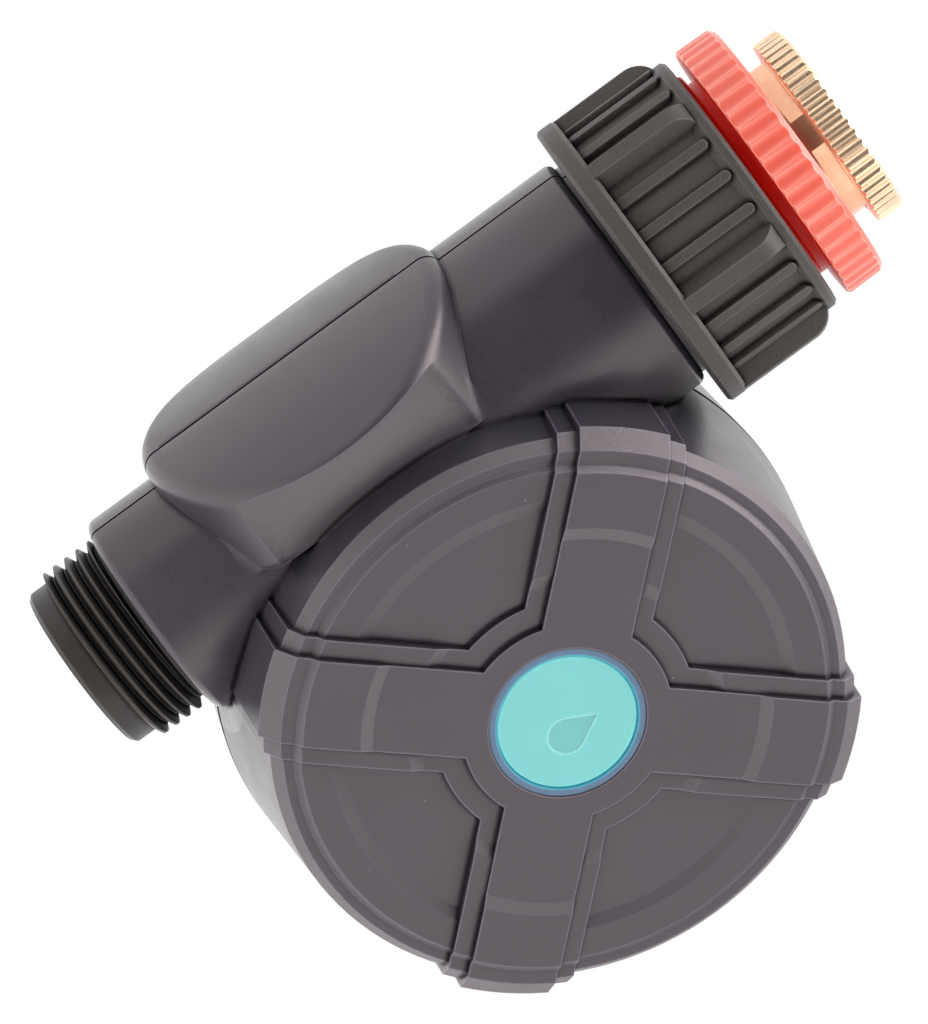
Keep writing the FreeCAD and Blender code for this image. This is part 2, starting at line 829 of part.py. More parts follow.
def gear_plane(stage):
    """Where the first or the second layer of gears starts."""
    return base_plate_x() + plate_thickness + gear_gap + stage * (gear_width + gear_gap)


def gear_centres():
    idler_z = gear_module * (stem_gear_teeth + idler_small_teeth) / 2
    reach = gear_module * (idler_big_teeth + pinion_teeth) / 2
    pinion_y = -math.sqrt(reach * reach - pinion_drop * pinion_drop)
    return (0.0, idler_z), (pinion_y, idler_z - pinion_drop)


def involute_point(base, angle, turn):
    r = base * math.sqrt(1 + angle * angle)
    a = turn + angle - math.atan(angle)
    return r, a


def gear(teeth, low, width, bore, centre, first_tooth):
    """A spur gear about a line along X: first_tooth is the direction of one tooth, from +Y towards +Z."""
    alpha = math.radians(pressure_angle)
    pitch_r = gear_module * teeth / 2
    base = pitch_r * math.cos(alpha)
    tip_r = pitch_r + gear_module
    root_r = pitch_r - 1.2 * gear_module
    roll_pitch = math.tan(alpha)
    half_tooth = math.pi / (2 * teeth) - gear_backlash / (4 * pitch_r)
    flank_start = half_tooth + roll_pitch - alpha
    roll_tip = math.sqrt((tip_r / base) ** 2 - 1)
    rolls = [roll_tip * k / 3 for k in range(4)]
    flank = [(min(root_r, base), -flank_start)] if root_r < base else []
    flank += [involute_point(base, roll, -flank_start) for roll in rolls]
    outline = []
    for i in range(teeth):
        middle = math.radians(first_tooth) + 2 * math.pi * i / teeth
        outline += [(r, middle + a) for r, a in flank]
        outline += [(r, middle - a) for r, a in reversed(flank)]
    points = [V(low, r * math.cos(a), r * math.sin(a)) for r, a in outline]
    wheel = Part.Face(Part.makePolygon(points + points[:1])).extrude(V(width, 0, 0))
    wheel = wheel.cut(rod_x(bore, low - 5, low + width + 5))
    wheel.translate(V(0, centre[0], centre[1]))
    return wheel


def stem_gear():
    low = gear_plane(0)
    top = low + gear_width
    bore_r = stem_r + gear_press
    wheel = gear(stem_gear_teeth, low, gear_width, bore_r, (0, 0), 90.0)
    hub = rod_x(gear_hub_r, top - 0.1, top + gear_hub_height).cut(rod_x(bore_r, 0, far))
    key = block((low, top), (stem_r - stem_flat_depth + gear_press, stem_r + 1), (-2.2, 2.2))
    windows = []
    for angle in around(gear_windows, 360 / gear_windows, 30):
        a = math.radians(angle)
        y, z = gear_window_ring_r * math.cos(a), gear_window_ring_r * math.sin(a)
        windows.append(rod_x(gear_window_r, 0, far, y, z))
    return without(wheel.fuse(hub).fuse(key), windows)


def idler_gear():
    centre = gear_centres()[0]
    step = 180.0 / idler_small_teeth
    bore_r = axle_r + axle_fit
    small = gear(idler_small_teeth, gear_plane(0), gear_width + gear_gap + 0.1, bore_r, centre, 270.0 + step)
    big = gear(idler_big_teeth, gear_plane(1), gear_width, bore_r, centre, pinion_direction())
    return small.fuse(big)


def pinion_direction():
    idler, pinion = gear_centres()
    return math.degrees(math.atan2(pinion[1] - idler[1], pinion[0] - idler[0]))


def motor_pinion():
    step = 180.0 / pinion_teeth
    return gear(pinion_teeth, gear_plane(1), gear_width, motor_shaft_r + shaft_press, gear_centres()[1],
                pinion_direction() + 180 + step)


def motor_shaft():
    y, z = gear_centres()[1]
    return rod_x(motor_shaft_r, gear_plane(1) - 0.2, motor_x() + shaft_in_motor, y, z)


def cover_plate_x():
    return gear_plane(1) + gear_width + gear_gap


def motor_x():
    return cover_plate_x() + plate_thickness


def gearbox_base():
    low = base_plate_x()
    plate = block((low, low + plate_thickness), plate_y, plate_z)
    pillars = [rod_x(pillar_r, low, cover_plate_x(), y, z) for y, z in pillar_places]
    idler = gear_centres()[0]
    holes = [rod_x(stem_r + stem_hole_play, 0, far), rod_x(axle_r, 0, low + plate_thickness + 0.05, *idler)]
    holes += [rod_x(gearbox_screw_r + screw_slack, low + 1.5, far, y, z) for y, z in pillar_places]
    return without(plate.multiFuse(pillars), holes)


def gearbox_cover():
    low = cover_plate_x()
    plate = block((low, low + plate_thickness), plate_y, plate_z)
    idler, pinion = gear_centres()
    holes = [rod_x(axle_r, 0, far, *idler), rod_x(motor_shaft_r + shaft_hole_play, 0, far, *pinion),
             rod_x(stem_r + stem_hole_play, 0, far)]
    holes += [rod_x(gearbox_screw_r + screw_slack, 0, far, y, z) for y, z in pillar_places]
    return without(plate, holes)


def idler_axle():
    idler = gear_centres()[0]
    return rod_x(axle_r - shaft_press, base_plate_x() + 0.2, motor_x(), *idler)


def gearbox_screws():
    top = motor_x()
    head_top = top + gearbox_head_thickness
    screws = []
    for y, z in pillar_places:
        head = rod_x(gearbox_head_r, top + 0.01, head_top, y, z)
        shaft = rod_x(gearbox_screw_r, top - gearbox_screw_length, top + 0.1, y, z)
        slot = block((head_top - 0.5, far), (y - 1.1, y + 1.1), (z - 0.2, z + 0.2))
        screws.append(head.fuse(shaft).cut(slot))
    return Part.makeCompound(screws)


def motor():
    low = motor_x() + 0.01
    high = low + motor_length
    y, z = gear_centres()[1]
    can = rod_x(motor_r, low, high, y, z)
    boss = rod_x(motor_r * 0.45, high, high + motor_boss_length, y, z)
    return can.fuse(boss).cut(rod_x(motor_shaft_r + shaft_fit, low - 1, low + shaft_in_motor + 2, y, z))


# Batteries

def cell_places():
    offset = cell_r + cell_gap
    return (bay_x - offset, 1), (bay_x + offset, -1)


def cell_y():
    return bay_floor_y + cell_r + cell_lift


def batteries():
    cells = []
    for x, up in cell_places():
        half = cell_length / 2
        can = rod(cell_r, -half, half - cell_nub_length, x, cell_y())
        nub = rod(cell_nub_r, half - cell_nub_length - 0.1, half, x, cell_y())
        cell = can.fuse(nub)
        if up < 0:
            cell = cell.mirror(V(0, 0, 0), V(0, 0, 1))
        cells.append(cell)
    return Part.makeCompound(cells)


def contact_foot(x):
    """The flat plate of one contact, against the lower end wall of the bay."""
    low = -bay_half_z + contact_seat
    depth = (bay_floor_y + 0.1, bay_floor_y + contact_height)
    return block((x - contact_half_width, x + contact_half_width), depth, (low, low + contact_thickness))


def contact_plates():
    """Flat contacts against the cells' nubs, one at each end of the bay."""
    plates = []
    for x, up in cell_places():
        pad = rod(contact_pad_r, cell_length / 2 + 0.01, bay_half_z - contact_thickness, x, cell_y())
        plate = contact_foot(x).mirror(V(0, 0, 0), V(0, 0, 1)).fuse(pad)
        if up < 0:
            plate = plate.mirror(V(0, 0, 0), V(0, 0, 1))
        plates.append(plate)
    return Part.makeCompound(plates)


def contact_springs():
    """Coiled contacts against the cells' flat ends, each with its foot plate."""
    springs = []
    free = bay_half_z - cell_length / 2 - contact_thickness
    pitch = (free - 2 * contact_wire_r - 0.1) / contact_turns
    for x, up in cell_places():
        path = Part.makeLongHelix(pitch, pitch * contact_turns, contact_coil_r)
        start = Part.Wire([Part.makeCircle(contact_wire_r, V(contact_coil_r, 0, 0), V(0, 1, 0))])
        coil = Part.Wire(path.Edges).makePipeShell([start], True, True)
        coil.translate(V(x, cell_y(), -bay_half_z + contact_thickness + contact_wire_r * 0.8))
        spring = coil.fuse(contact_foot(x))
        if up < 0:
            spring = spring.mirror(V(0, 0, 0), V(0, 0, 1))
        springs.append(spring)
    return Part.makeCompound(springs)


def battery_cover():
    plate = cover_outline(0, drum_back_y - cover_thickness, drum_back_y)
    edge = [e for e in plate.Edges if e.BoundBox.YMin > drum_back_y - 0.01]
    plate = plate.makeFillet(cover_edge_radius, edge)
    holes = []
    for z in (-cover_screw_z, cover_screw_z):
        holes.append(rod_y(cover_screw_r + screw_slack, 0, far, bay_x, z))
        holes.append(rod_y(cover_head_r + cover_gap, drum_back_y - cover_head_thickness - 0.1, far, bay_x, z))
    ribs = [block((bay_x - grip_half_length, bay_x + grip_half_length),
                  (drum_back_y - 0.1, drum_back_y + grip_height), (z - grip_half_width, z + grip_half_width))
            for z in around(grip_ribs, grip_step, -grip_step * (grip_ribs - 1) / 2)]
    return without(plate.multiFuse(ribs), holes)


def cover_gasket():
    outer_x, outer_z = bay_size(bay_wall)
    inner_x, inner_z = bay_size(0)
    low = cover_recess_y() + gasket_squeeze_gap
    high = drum_back_y - cover_thickness - 0.01
    return block(outer_x, (low, high), outer_z).cut(block(inner_x, (low - 1, high + 1), inner_z))


def cover_screws():
    head_y = drum_back_y - 0.08
    return Part.makeCompound([screw_y(cover_head_r, cover_head_thickness, cover_screw_r, cover_screw_length,
                                      head_y, bay_x, z) for z in (-cover_screw_z, cover_screw_z)])


# Seals of the casing

def pipe_seals():
    rings = []
    for z in (tube_outlet_end + wall / 2, tube_inlet_end - wall / 2):
        rings.append(tube_z(pipe_r + pipe_hole_clearance - seal_skin, pipe_r + seal_skin, z - 0.5, z + 0.5))
    return Part.makeCompound(rings)


# Collar nut, washer, filter and reducers

def grip_low():
    """Height inside the flange where the wings and ribs start."""
    return collar_low + collar_flange_thickness - 1.0


def wing(angle):
    """One broad grip wing: a tapered fin with a rounded upper corner."""
    base, top = collar_wing_base / 2, collar_wing_top / 2
    inner = collar_body_r - 1.2
    plan = [V(inner, -base, grip_low()), V(collar_wing_r, -top, grip_low()),
            V(collar_wing_r, top, grip_low()), V(inner, base, grip_low())]
    fin = Part.Face(Part.makePolygon(plan + plan[:1])).extrude(V(0, 0, collar_wing_high - grip_low()))
    corner = [e for e in fin.Edges
              if abs(e.CenterOfMass.z - collar_wing_high) < 0.01 and e.CenterOfMass.x > collar_wing_r - 0.1]
    fin = fin.makeFillet(collar_wing_corner, corner)
    fin.rotate(V(0, 0, 0), V(0, 0, 1), angle)
    return fin


def thin_rib(angle):
    """One thin grip rib with a round upper end."""
    half = collar_rib_width / 2
    inner = collar_body_r - 0.8
    rib = block((inner, collar_rib_r), (-half, half), (grip_low(), collar_rib_high - half))
    rib = rib.fuse(rod_x(half, inner, collar_rib_r, 0, collar_rib_high - half))
    rib.rotate(V(0, 0, 0), V(0, 0, 1), angle)
    return rib


def collar_seat_z():
    return collar_low + collar_lip_thickness


def collar_nut():
    edge = 0.45
    flange_high = collar_low + collar_flange_thickness
    outline = [(0, collar_low), (collar_flange_r - edge, collar_low), (collar_flange_r, collar_low + edge),
               (collar_flange_r, flange_high - edge), (collar_flange_r - edge, flange_high),
               (collar_body_r, flange_high), (collar_body_r, collar_band_low),
               (collar_band_r, collar_band_low + collar_band_slope), (collar_band_r, collar_high - edge),
               (collar_band_r - edge, collar_high), (0, collar_high)]
    body = turned_z(outline)
    step = 360 / collar_wing_count
    rib_step = step / (collar_ribs_between + 1)
    grips = []
    for start in around(collar_wing_count, step, collar_first_wing):
        grips.append(wing(start))
        grips += [thin_rib(a) for a in around(collar_ribs_between, rib_step, start + rib_step)]
    nut = body.multiFuse(grips)
    cavity = rod(thread_crest(g1_major) + screw_joint_gap, collar_seat_z(), collar_high + 1)
    lip = rod(pipe_r + swivel_gap, collar_low - 1, collar_high)
    recess = tube_z(neck_ring_r + swivel_gap, neck_ring_inner_r - swivel_gap, collar_low - 1,
                    collar_low + neck_ring_lap + swivel_gap)
    return nut.cut(cavity).cut(lip).cut(recess)


def washer_low():
    return pipe_flange_low() + pipe_flange_thickness


def red_low():
    return washer_low() + washer_thickness


def inlet_washer():
    """Flat rubber washer between the pipe's flange and the first reducer."""
    return tube_z(pipe_flange_r, filter_r + 0.02, washer_low() + face_gap, red_low() - face_gap)


def inlet_filter():
    """Cup of fine mesh that hangs in the pipe from the washer."""
    top = red_low() - face_gap
    cup_r = filter_r - filter_rim
    cup = rod(cup_r, top - filter_depth, top)
    hollow = rod(cup_r - filter_wall, top - filter_depth + filter_wall, top + 1)
    rim = tube_z(filter_r, cup_r - filter_wall, top - filter_wall, top)
    return cup.cut(hollow).fuse(rim)


def scalloped(r_low, r_high, low, high, bevel, count, depth, share):
    """A grip ring with rounded hollows all round; one ridge between two hollows lies along +X."""
    ring = turned_z([(0, low), (r_low - bevel / 2, low), (r_low, low + bevel / 2), (r_high, high - bevel),
                     (r_high - bevel, high), (0, high)])
    cutter_r = 2 * math.pi * r_low / count * share
    reach = r_low + cutter_r - depth
    cutters = []
    for angle in around(count, 360 / count, 180 / count):
        a = math.radians(angle)
        cutters.append(rod(cutter_r, low - 1, high + 1, reach * math.cos(a), reach * math.sin(a)))
    return ring.cut(Part.makeCompound(cutters))


def red_reducer():
    ring = scalloped(red_ring_r_low, red_ring_r_high, red_ring_low, red_ring_high, red_ring_bevel,
                     red_scallops, red_scallop_depth, red_scallop_share)
    low = red_low()
    barrel = rod(thread_root(g1_major, g1_pitch) - thread_core_inset, low, red_ring_low + 0.1)
    thread = male_thread(g1_major, g1_pitch, low + thread_start, red_ring_low - thread_relief)
    body = ring.fuse(barrel).fuse(thread)
    socket_r = thread_crest(g34_major) + screw_joint_gap
    socket = rod(socket_r, red_ring_high - red_socket_depth, red_ring_high + 1)
    return body.cut(socket).cut(rod(red_bore_r, low - 1, red_ring_high))


def brass_low():
    return red_ring_high - red_socket_depth + brass_washer_thickness


def brass_washer():
    low = red_ring_high - red_socket_depth
    outer_r = thread_root(g34_major, g34_pitch) - brass_washer_play
    return tube_z(outer_r, brass_bore_r + brass_washer_inset, low + face_gap, brass_low() - face_gap)


def brass_reducer():
    head = scalloped(brass_head_r_low, brass_head_r_high, brass_head_low, inlet_top, brass_head_bevel,
                     brass_knurls, brass_knurl_depth, brass_knurl_share)
    low = brass_low()
    neck = rod(brass_neck_r, low, brass_head_low + 0.1)
    flats = block((-far, far), (-far, far), (red_ring_high + brass_neck_gap, brass_head_low - brass_flat_low))
    corner_r = brass_flat_half / math.cos(math.pi / 6)
    angles = [math.radians(a) for a in around(7, 60)]
    corners = [V(corner_r * math.cos(a), corner_r * math.sin(a), red_ring_high - 1) for a in angles]
    flats = flats.cut(Part.Face(Part.makePolygon(corners)).extrude(V(0, 0, 10)))
    thread = male_thread(g34_major, g34_pitch, low + thread_start, red_ring_high - brass_neck_gap)
    body = head.fuse(neck).cut(flats).fuse(thread)
    mouth_low = inlet_top - inlet_thread_length
    mouth = rod(inlet_crest_r, mouth_low, inlet_top + 1)
    groove = helical_ridge(g12_major, g12_pitch, mouth_low + inlet_thread_runout, inlet_top)
    return body.cut(mouth).cut(rod(brass_bore_r, low - 1, inlet_top)).cut(groove)


pieces = {
    "front_shell": front_shell,
    "rear_shell": rear_shell,
    "shell_screws": shell_screws,
    "button_cap": button_cap,
    "light_ring": light_ring,
    "circuit_board": circuit_board,
    "board_screws": board_screws,
    "tact_switch": tact_switch,
    "indicator_leds": indicator_leds,
    "radio_module": radio_module,
    "valve_body": valve_body,
    "ball": ball,
    "seat_lower": lambda: seat(-1),
    "seat_upper": lambda: seat(1),
    "seat_retainer": seat_retainer,
    "stem": stem,
    "stem_seals": stem_seals,
    "stem_gear": stem_gear,
    "idler_gear": idler_gear,
    "idler_axle": idler_axle,
    "motor_pinion": motor_pinion,
    "motor_shaft": motor_shaft,
    "motor": motor,
    "gearbox_base": gearbox_base,
    "gearbox_cover": gearbox_cover,
    "gearbox_screws": gearbox_screws,
    "batteries": batteries,
    "contact_plates": contact_plates,
    "contact_springs": contact_springs,
    "battery_cover": battery_cover,
    "cover_gasket": cover_gasket,
    "cover_screws": cover_screws,
    "pipe_seals": pipe_seals,
    "collar_nut": collar_nut,
    "inlet_washer": inlet_washer,
    "inlet_filter": inlet_filter,
    "red_reducer": red_reducer,
    "brass_washer": brass_washer,
    "brass_reducer": brass_reducer,
}


def main():
    os.makedirs("parts", exist_ok=True)
    for name, build in pieces.items():
        shape = build()
        shape.translate(V(0, 0, -inlet_top))
        solids = len(shape.Solids)
        state = "valid" if shape.isValid() else "not valid"
        print(name, state, solids, "solids", round(shape.Volume, 1), "mm3")
        shape.exportStep(f"parts/{name}.step")


main()
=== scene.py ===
import json
import math

import bmesh
import bpy
from mathutils import Matrix, Vector

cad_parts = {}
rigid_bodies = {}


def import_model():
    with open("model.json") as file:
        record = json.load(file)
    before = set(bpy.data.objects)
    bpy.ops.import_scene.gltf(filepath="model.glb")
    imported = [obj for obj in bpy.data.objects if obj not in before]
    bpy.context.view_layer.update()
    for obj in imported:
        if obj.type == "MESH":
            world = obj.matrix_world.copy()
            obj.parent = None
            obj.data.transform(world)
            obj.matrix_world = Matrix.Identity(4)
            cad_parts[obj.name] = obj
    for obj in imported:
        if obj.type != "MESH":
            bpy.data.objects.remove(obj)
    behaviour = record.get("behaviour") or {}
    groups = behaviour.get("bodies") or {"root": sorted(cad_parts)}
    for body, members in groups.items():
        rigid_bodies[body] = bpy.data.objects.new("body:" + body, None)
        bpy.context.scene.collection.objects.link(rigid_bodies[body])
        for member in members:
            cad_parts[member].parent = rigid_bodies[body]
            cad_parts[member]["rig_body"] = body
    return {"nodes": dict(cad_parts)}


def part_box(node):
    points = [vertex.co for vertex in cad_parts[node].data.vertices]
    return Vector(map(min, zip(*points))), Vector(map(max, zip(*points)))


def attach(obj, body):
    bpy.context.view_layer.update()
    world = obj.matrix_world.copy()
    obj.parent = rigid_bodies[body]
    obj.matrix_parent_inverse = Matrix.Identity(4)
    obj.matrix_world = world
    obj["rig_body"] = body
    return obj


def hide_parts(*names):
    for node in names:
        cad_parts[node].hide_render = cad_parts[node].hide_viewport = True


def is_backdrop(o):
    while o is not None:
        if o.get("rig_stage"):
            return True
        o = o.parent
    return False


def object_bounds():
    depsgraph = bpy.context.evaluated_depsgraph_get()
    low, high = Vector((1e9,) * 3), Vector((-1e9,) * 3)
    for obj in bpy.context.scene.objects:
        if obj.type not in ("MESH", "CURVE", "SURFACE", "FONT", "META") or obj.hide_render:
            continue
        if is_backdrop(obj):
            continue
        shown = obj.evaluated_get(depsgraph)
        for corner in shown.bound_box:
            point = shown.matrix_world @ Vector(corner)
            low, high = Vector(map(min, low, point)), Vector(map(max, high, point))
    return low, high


bl_info = {
    "name": "Bluetooth water timer",
    "version": (1, 0, 0),
    "blender": (4, 5, 0),
    "location": "3D View > Sidebar > Timer",
    "description": "Finishes and softened mouldings of a garden water timer, built round its packed frame",
    "category": "Add Mesh",
}

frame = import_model()
nodes = frame["nodes"]
frame_box = [list(corner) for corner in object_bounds()]

MM = 0.001

# Points nearer than this are one, and faces that turn by less than this are one flat face
weld_distance = 0.002 * MM
flat_angle = math.radians(0.02)

# The drum's axis runs along Y through this point, and the tube's axis is the Z axis
drum_axis = Vector((34.1 * MM, 0.0, -75.1 * MM))
tube_axis = Vector((0.0, 0.0, 0.0))
y_axis = (0, 1, 0)
z_axis = (0, 0, 1)

# Heights on the tube's axis: the coral ring and the brass neck lie above these, their threads below
coral_ring_low = -12.6 * MM
brass_neck_low = -7.2 * MM

# Radii from the tube's axis: the casing's sleeve, the coral ring's scallops and the brass neck
sleeve_r = 18.6 * MM
scallop_foot_r = 19.1 * MM
scallop_depth = 0.4 * MM
neck_inner_r, neck_outer_r = 10.6 * MM, 12.4 * MM

# The button and the light ring, as radii from the drum's axis
button_r = 9.38 * MM
drop_reach = 8 * MM
ring_inner_r = 9.58 * MM
ring_width = 1.02 * MM

# The drum's front: the plane its slopes lie in front of, its left end, its chamfer's radius, and
# half an arm of the cross with its ledges, measured along X + Z
drum_front_y = -22 * MM
drum_left_x = -9 * MM
chamfer_r = 36 * MM
arm_reach = 12.4 * MM

# The hump on the tube: its middle and half its length, and the planes that bound it and its wall
hump_middle_z = -78 * MM
hump_reach = 19 * MM
hump_right_x = -3.5 * MM
hump_front_y = -24 * MM
hump_wall_y = -12 * MM

# The painted shadow along the seam between the shells: half its width on the tube, what the drum's step
# adds to it, and where along X that begins
seam_shadow_half_width = 0.26 * MM
seam_step = 0.44 * MM
seam_step_x = 9 * MM

# The camera: its own right and up in the object's frame, its distance, and how far to the right of
# and above the tube's point beside the drum's axis it aims
view_right = Vector((0.53941, -0.23898, 0.80742))
view_up = Vector((-0.70780, 0.39072, 0.58853))
view_distance = 0.75
aim_right = 11.471 * MM
aim_up = -7.525 * MM

# The soft lights: how far they stand from the object and how wide they are
lamp_distance = 0.9
lamp_size = 0.9

# Along a cell from its middle: where its pale band lies, and where its sleeve ends
band_from, band_to = 12 * MM, 15 * MM
sleeve_end = 21.4 * MM


# Shader maths

class Value:
    """A shader socket that can be used in sums."""

    def __init__(self, shader, socket):
        self.shader = shader
        self.socket = socket

    def math(self, operation, first, second):
        return self.shader.node("ShaderNodeMath", {"operation": operation}, {0: first, 1: second})

    def __add__(self, other):
        return self.math("ADD", self, other)

    def __radd__(self, other):
        return self.math("ADD", other, self)

    def __sub__(self, other):
        return self.math("SUBTRACT", self, other)

    def __rsub__(self, other):
        return self.math("SUBTRACT", other, self)

    def __mul__(self, other):
        return self.math("MULTIPLY", self, other)

    def __rmul__(self, other):
        return self.math("MULTIPLY", other, self)

    def __truediv__(self, other):
        return self.math("DIVIDE", self, other)

    def __gt__(self, other):
        return self.math("GREATER_THAN", self, other)

    def __lt__(self, other):
        return self.math("LESS_THAN", self, other)


class Nodes:
    """A node tree, cleared and built up again."""

    def __init__(self, owner):
        owner.use_nodes = True
        self.tree = owner.node_tree
        self.tree.nodes.clear()

    def node(self, kind, settings=None, sockets=None, out=0):
        """Adds a node, sets it up, feeds its sockets and gives back one of its outputs."""
        made = self.tree.nodes.new(kind)
        for name, setting in (settings or {}).items():
            if name == "stops":
                self.set_stops(made.color_ramp, setting)
            else:
                setattr(made, name, setting)
        for name, value in (sockets or {}).items():
            self.feed(made, name, value)
        return Value(self, made.outputs[out]) if made.outputs else None

    def feed(self, made, name, value):
        """Links a value to a socket, or sets the socket where the value is plain."""
        if isinstance(value, Value):
            self.tree.links.new(value.socket, made.inputs[name])
        else:
            made.inputs[name].default_value = value

    def set_stops(self, ramp, stops):
        while len(ramp.elements) < len(stops):
            ramp.elements.new(1.0)
        for element, (position, level) in zip(ramp.elements, stops):
            element.position = position
            element.color = (level, level, level, 1.0)

    def ramp(self, value, stops):
        """A value passed through a curve of (position, level) stops."""
        return self.node("ShaderNodeValToRGB", {"stops": stops}, {"Fac": value})

    def mix(self, share, first, second):
        """Two colours mixed."""
        return self.node("ShaderNodeMix", {"data_type": "RGBA"}, {0: share, 6: first, 7: second}, 2)


class Shader(Nodes):
    """One material: a principled surface and what feeds it."""

    def __init__(self, name, surface=None):
        self.material = bpy.data.materials.new(name)
        super().__init__(self.material)
        self.shading = self.node("ShaderNodeBsdfPrincipled", {}, surface)
        self.surface = self.shading.socket.node
        self.output = self.tree.nodes.new("ShaderNodeOutputMaterial")
        self.feed(self.output, "Surface", self.shading)
        self.place = self.node("ShaderNodeTexCoord", out="Object")

    def noise(self, size, detail=2.0, roughness=0.5, where=None):
        """Noise from 0 to 1 whose blotches are about this long, in metres."""
        sockets = {"Scale": 1 / size, "Detail": detail, "Roughness": roughness}
        sockets["Vector"] = where or self.place
        return self.node("ShaderNodeTexNoise", {}, sockets, "Fac")

    def waves(self, direction, scale):
        """Ridges that follow each other along X, Y or Z."""
        sockets = {"Vector": self.place, "Scale": scale}
        return self.node("ShaderNodeTexWave", {"bands_direction": direction}, sockets, "Fac")

    def cells(self, size, out="Distance"):
        """Cells about this large, in metres: the distance from each one's point, or its colour."""
        sockets = {"Vector": self.place, "Scale": 1 / size}
        return self.node("ShaderNodeTexVoronoi", {}, sockets, out)

    def specks(self, spacing):
        """1 on a few small dots, about one in thirty cells of this spacing."""
        near = self.cells(spacing) < 0.05
        chance = self.node("ShaderNodeSeparateColor", {}, {0: self.cells(spacing, "Color")}, 0)
        return near * (chance > 0.965)

    def stretched(self, x, y, z):
        """The object's coordinates with each direction multiplied."""
        return self.node("ShaderNodeMapping", {}, {"Vector": self.place, "Scale": (x, y, z)})

    def bump(self, height, depth, before=None):
        """A normal from a height of 0 to 1 over this depth, in metres."""
        sockets = {"Height": height, "Distance": depth, "Strength": 1.0}
        if before:
            sockets["Normal"] = before
        return self.node("ShaderNodeBump", {}, sockets, "Normal")

    def radius(self, axis, through=tube_axis):
        """Distance from a line along this axis through a point."""
        keep = Vector((1, 1, 1)) - Vector(axis)
        moved = self.node("ShaderNodeVectorMath", {"operation": "SUBTRACT"}, {0: self.place, 1: through})
        flat = self.node("ShaderNodeVectorMath", {"operation": "MULTIPLY"}, {0: moved, 1: keep})
        return self.node("ShaderNodeVectorMath", {"operation": "LENGTH"}, {0: flat}, "Value")

    def along(self, direction):
        """How far along X, Y or Z a point lies."""
        return self.node("ShaderNodeSeparateXYZ", {}, {0: self.place}, "XYZ".index(direction))

    def blend(self, share, first, second):
        """Two directions mixed."""
        return self.node("ShaderNodeMix", {"data_type": "VECTOR"}, {0: share, 4: first, 5: second}, 1)

    def magnitude(self, value):
        """A value without its sign."""
        return self.node("ShaderNodeMath", {"operation": "ABSOLUTE"}, {0: value})

    def facing(self, direction):
        """The part of the face's own direction that points along X, Y or Z."""
        lean = self.node("ShaderNodeNewGeometry", out="True Normal")
        return self.node("ShaderNodeSeparateXYZ", {}, {0: lean}, "XYZ".index(direction))

    def slope(self):
        """1 on the cross's slopes and the drum's chamfer, 0 on the flat levels and upright walls."""
        slopes = self.ramp(self.facing("Y") * -1.0, [(0.45, 0.0), (0.55, 1.0), (0.97, 1.0), (0.985, 0.0)])
        across = self.along("X") - drum_axis.x
        upward = self.along("Z") - drum_axis.z
        one_arm = self.magnitude(across + upward) < arm_reach
        other_arm = self.magnitude(across - upward) < arm_reach
        outside = self.radius(y_axis, drum_axis) > chamfer_r
        arms = self.ramp(one_arm + other_arm + outside, [(0.0, 0.45), (0.5, 1.0)])
        on_drum = (self.along("Y") < drum_front_y) * (self.along("X") > drum_left_x)
        return slopes * arms * on_drum

    def hump(self):
        """1 round the hump, 0 on the rest of the casing."""
        level = self.magnitude(self.along("Z") - hump_middle_z) < hump_reach
        return level * (self.along("X") < hump_right_x) * (self.along("Y") > hump_front_y)

    def flank(self):
        """1 on the hump's wall above the drum's front."""
        forward = self.ramp(self.facing("Y") * -1.0, [(0.55, 0.0), (0.70, 1.0)])
        level = self.ramp(self.facing("X"), [(0.0, 0.0), (0.12, 1.0)])
        return forward * level * self.hump() * (self.along("Y") < hump_wall_y)

    def gap(self, share):
        """Black shadow in place of the surface, as far as the share says."""
        shadow = self.node("ShaderNodeBsdfDiffuse", {}, {"Color": (0.004, 0.003, 0.003, 1.0)})
        mixed = self.node("ShaderNodeMixShader", {}, {0: share, 1: self.shading, 2: shadow})
        self.feed(self.output, "Surface", mixed)

    def edge(self, radius):
        """0 on flat faces, rising towards 1 on edges that are sharper than this radius."""
        soft = self.rounded(radius)
        plain = self.node("ShaderNodeNewGeometry", out="Normal")
        sockets = {0: soft, 1: plain}
        agreement = self.node("ShaderNodeVectorMath", {"operation": "DOT_PRODUCT"}, sockets, "Value")
        return self.ramp(1 - agreement, [(0.0, 0.0), (0.08, 1.0)])

    def open_sky(self, reach):
        """1 on open faces and outer edges, falling towards 0 in inner corners."""
        settings = {"samples": 4, "only_local": True}
        sky = self.node("ShaderNodeAmbientOcclusion", settings, {"Distance": reach}, "AO")
        return self.ramp(sky, [(0.50, 0.0), (0.97, 1.0)])

    def rounded(self, radius):
        """The normal of a surface whose sharp edges are rounded off."""
        return self.node("ShaderNodeBevel", {"samples": 6}, {"Radius": radius}, "Normal")

    def finish(self, color, roughness, normal=None):
        self.feed(self.surface, "Base Color", color)
        self.feed(self.surface, "Roughness", roughness)
        if normal:
            self.feed(self.surface, "Normal", normal)
        return self.material


def tone(color, factor):
    """A colour made lighter or darker."""
    return tuple(min(1.0, part * factor) for part in color[:3]) + (1.0,)


# Finishes

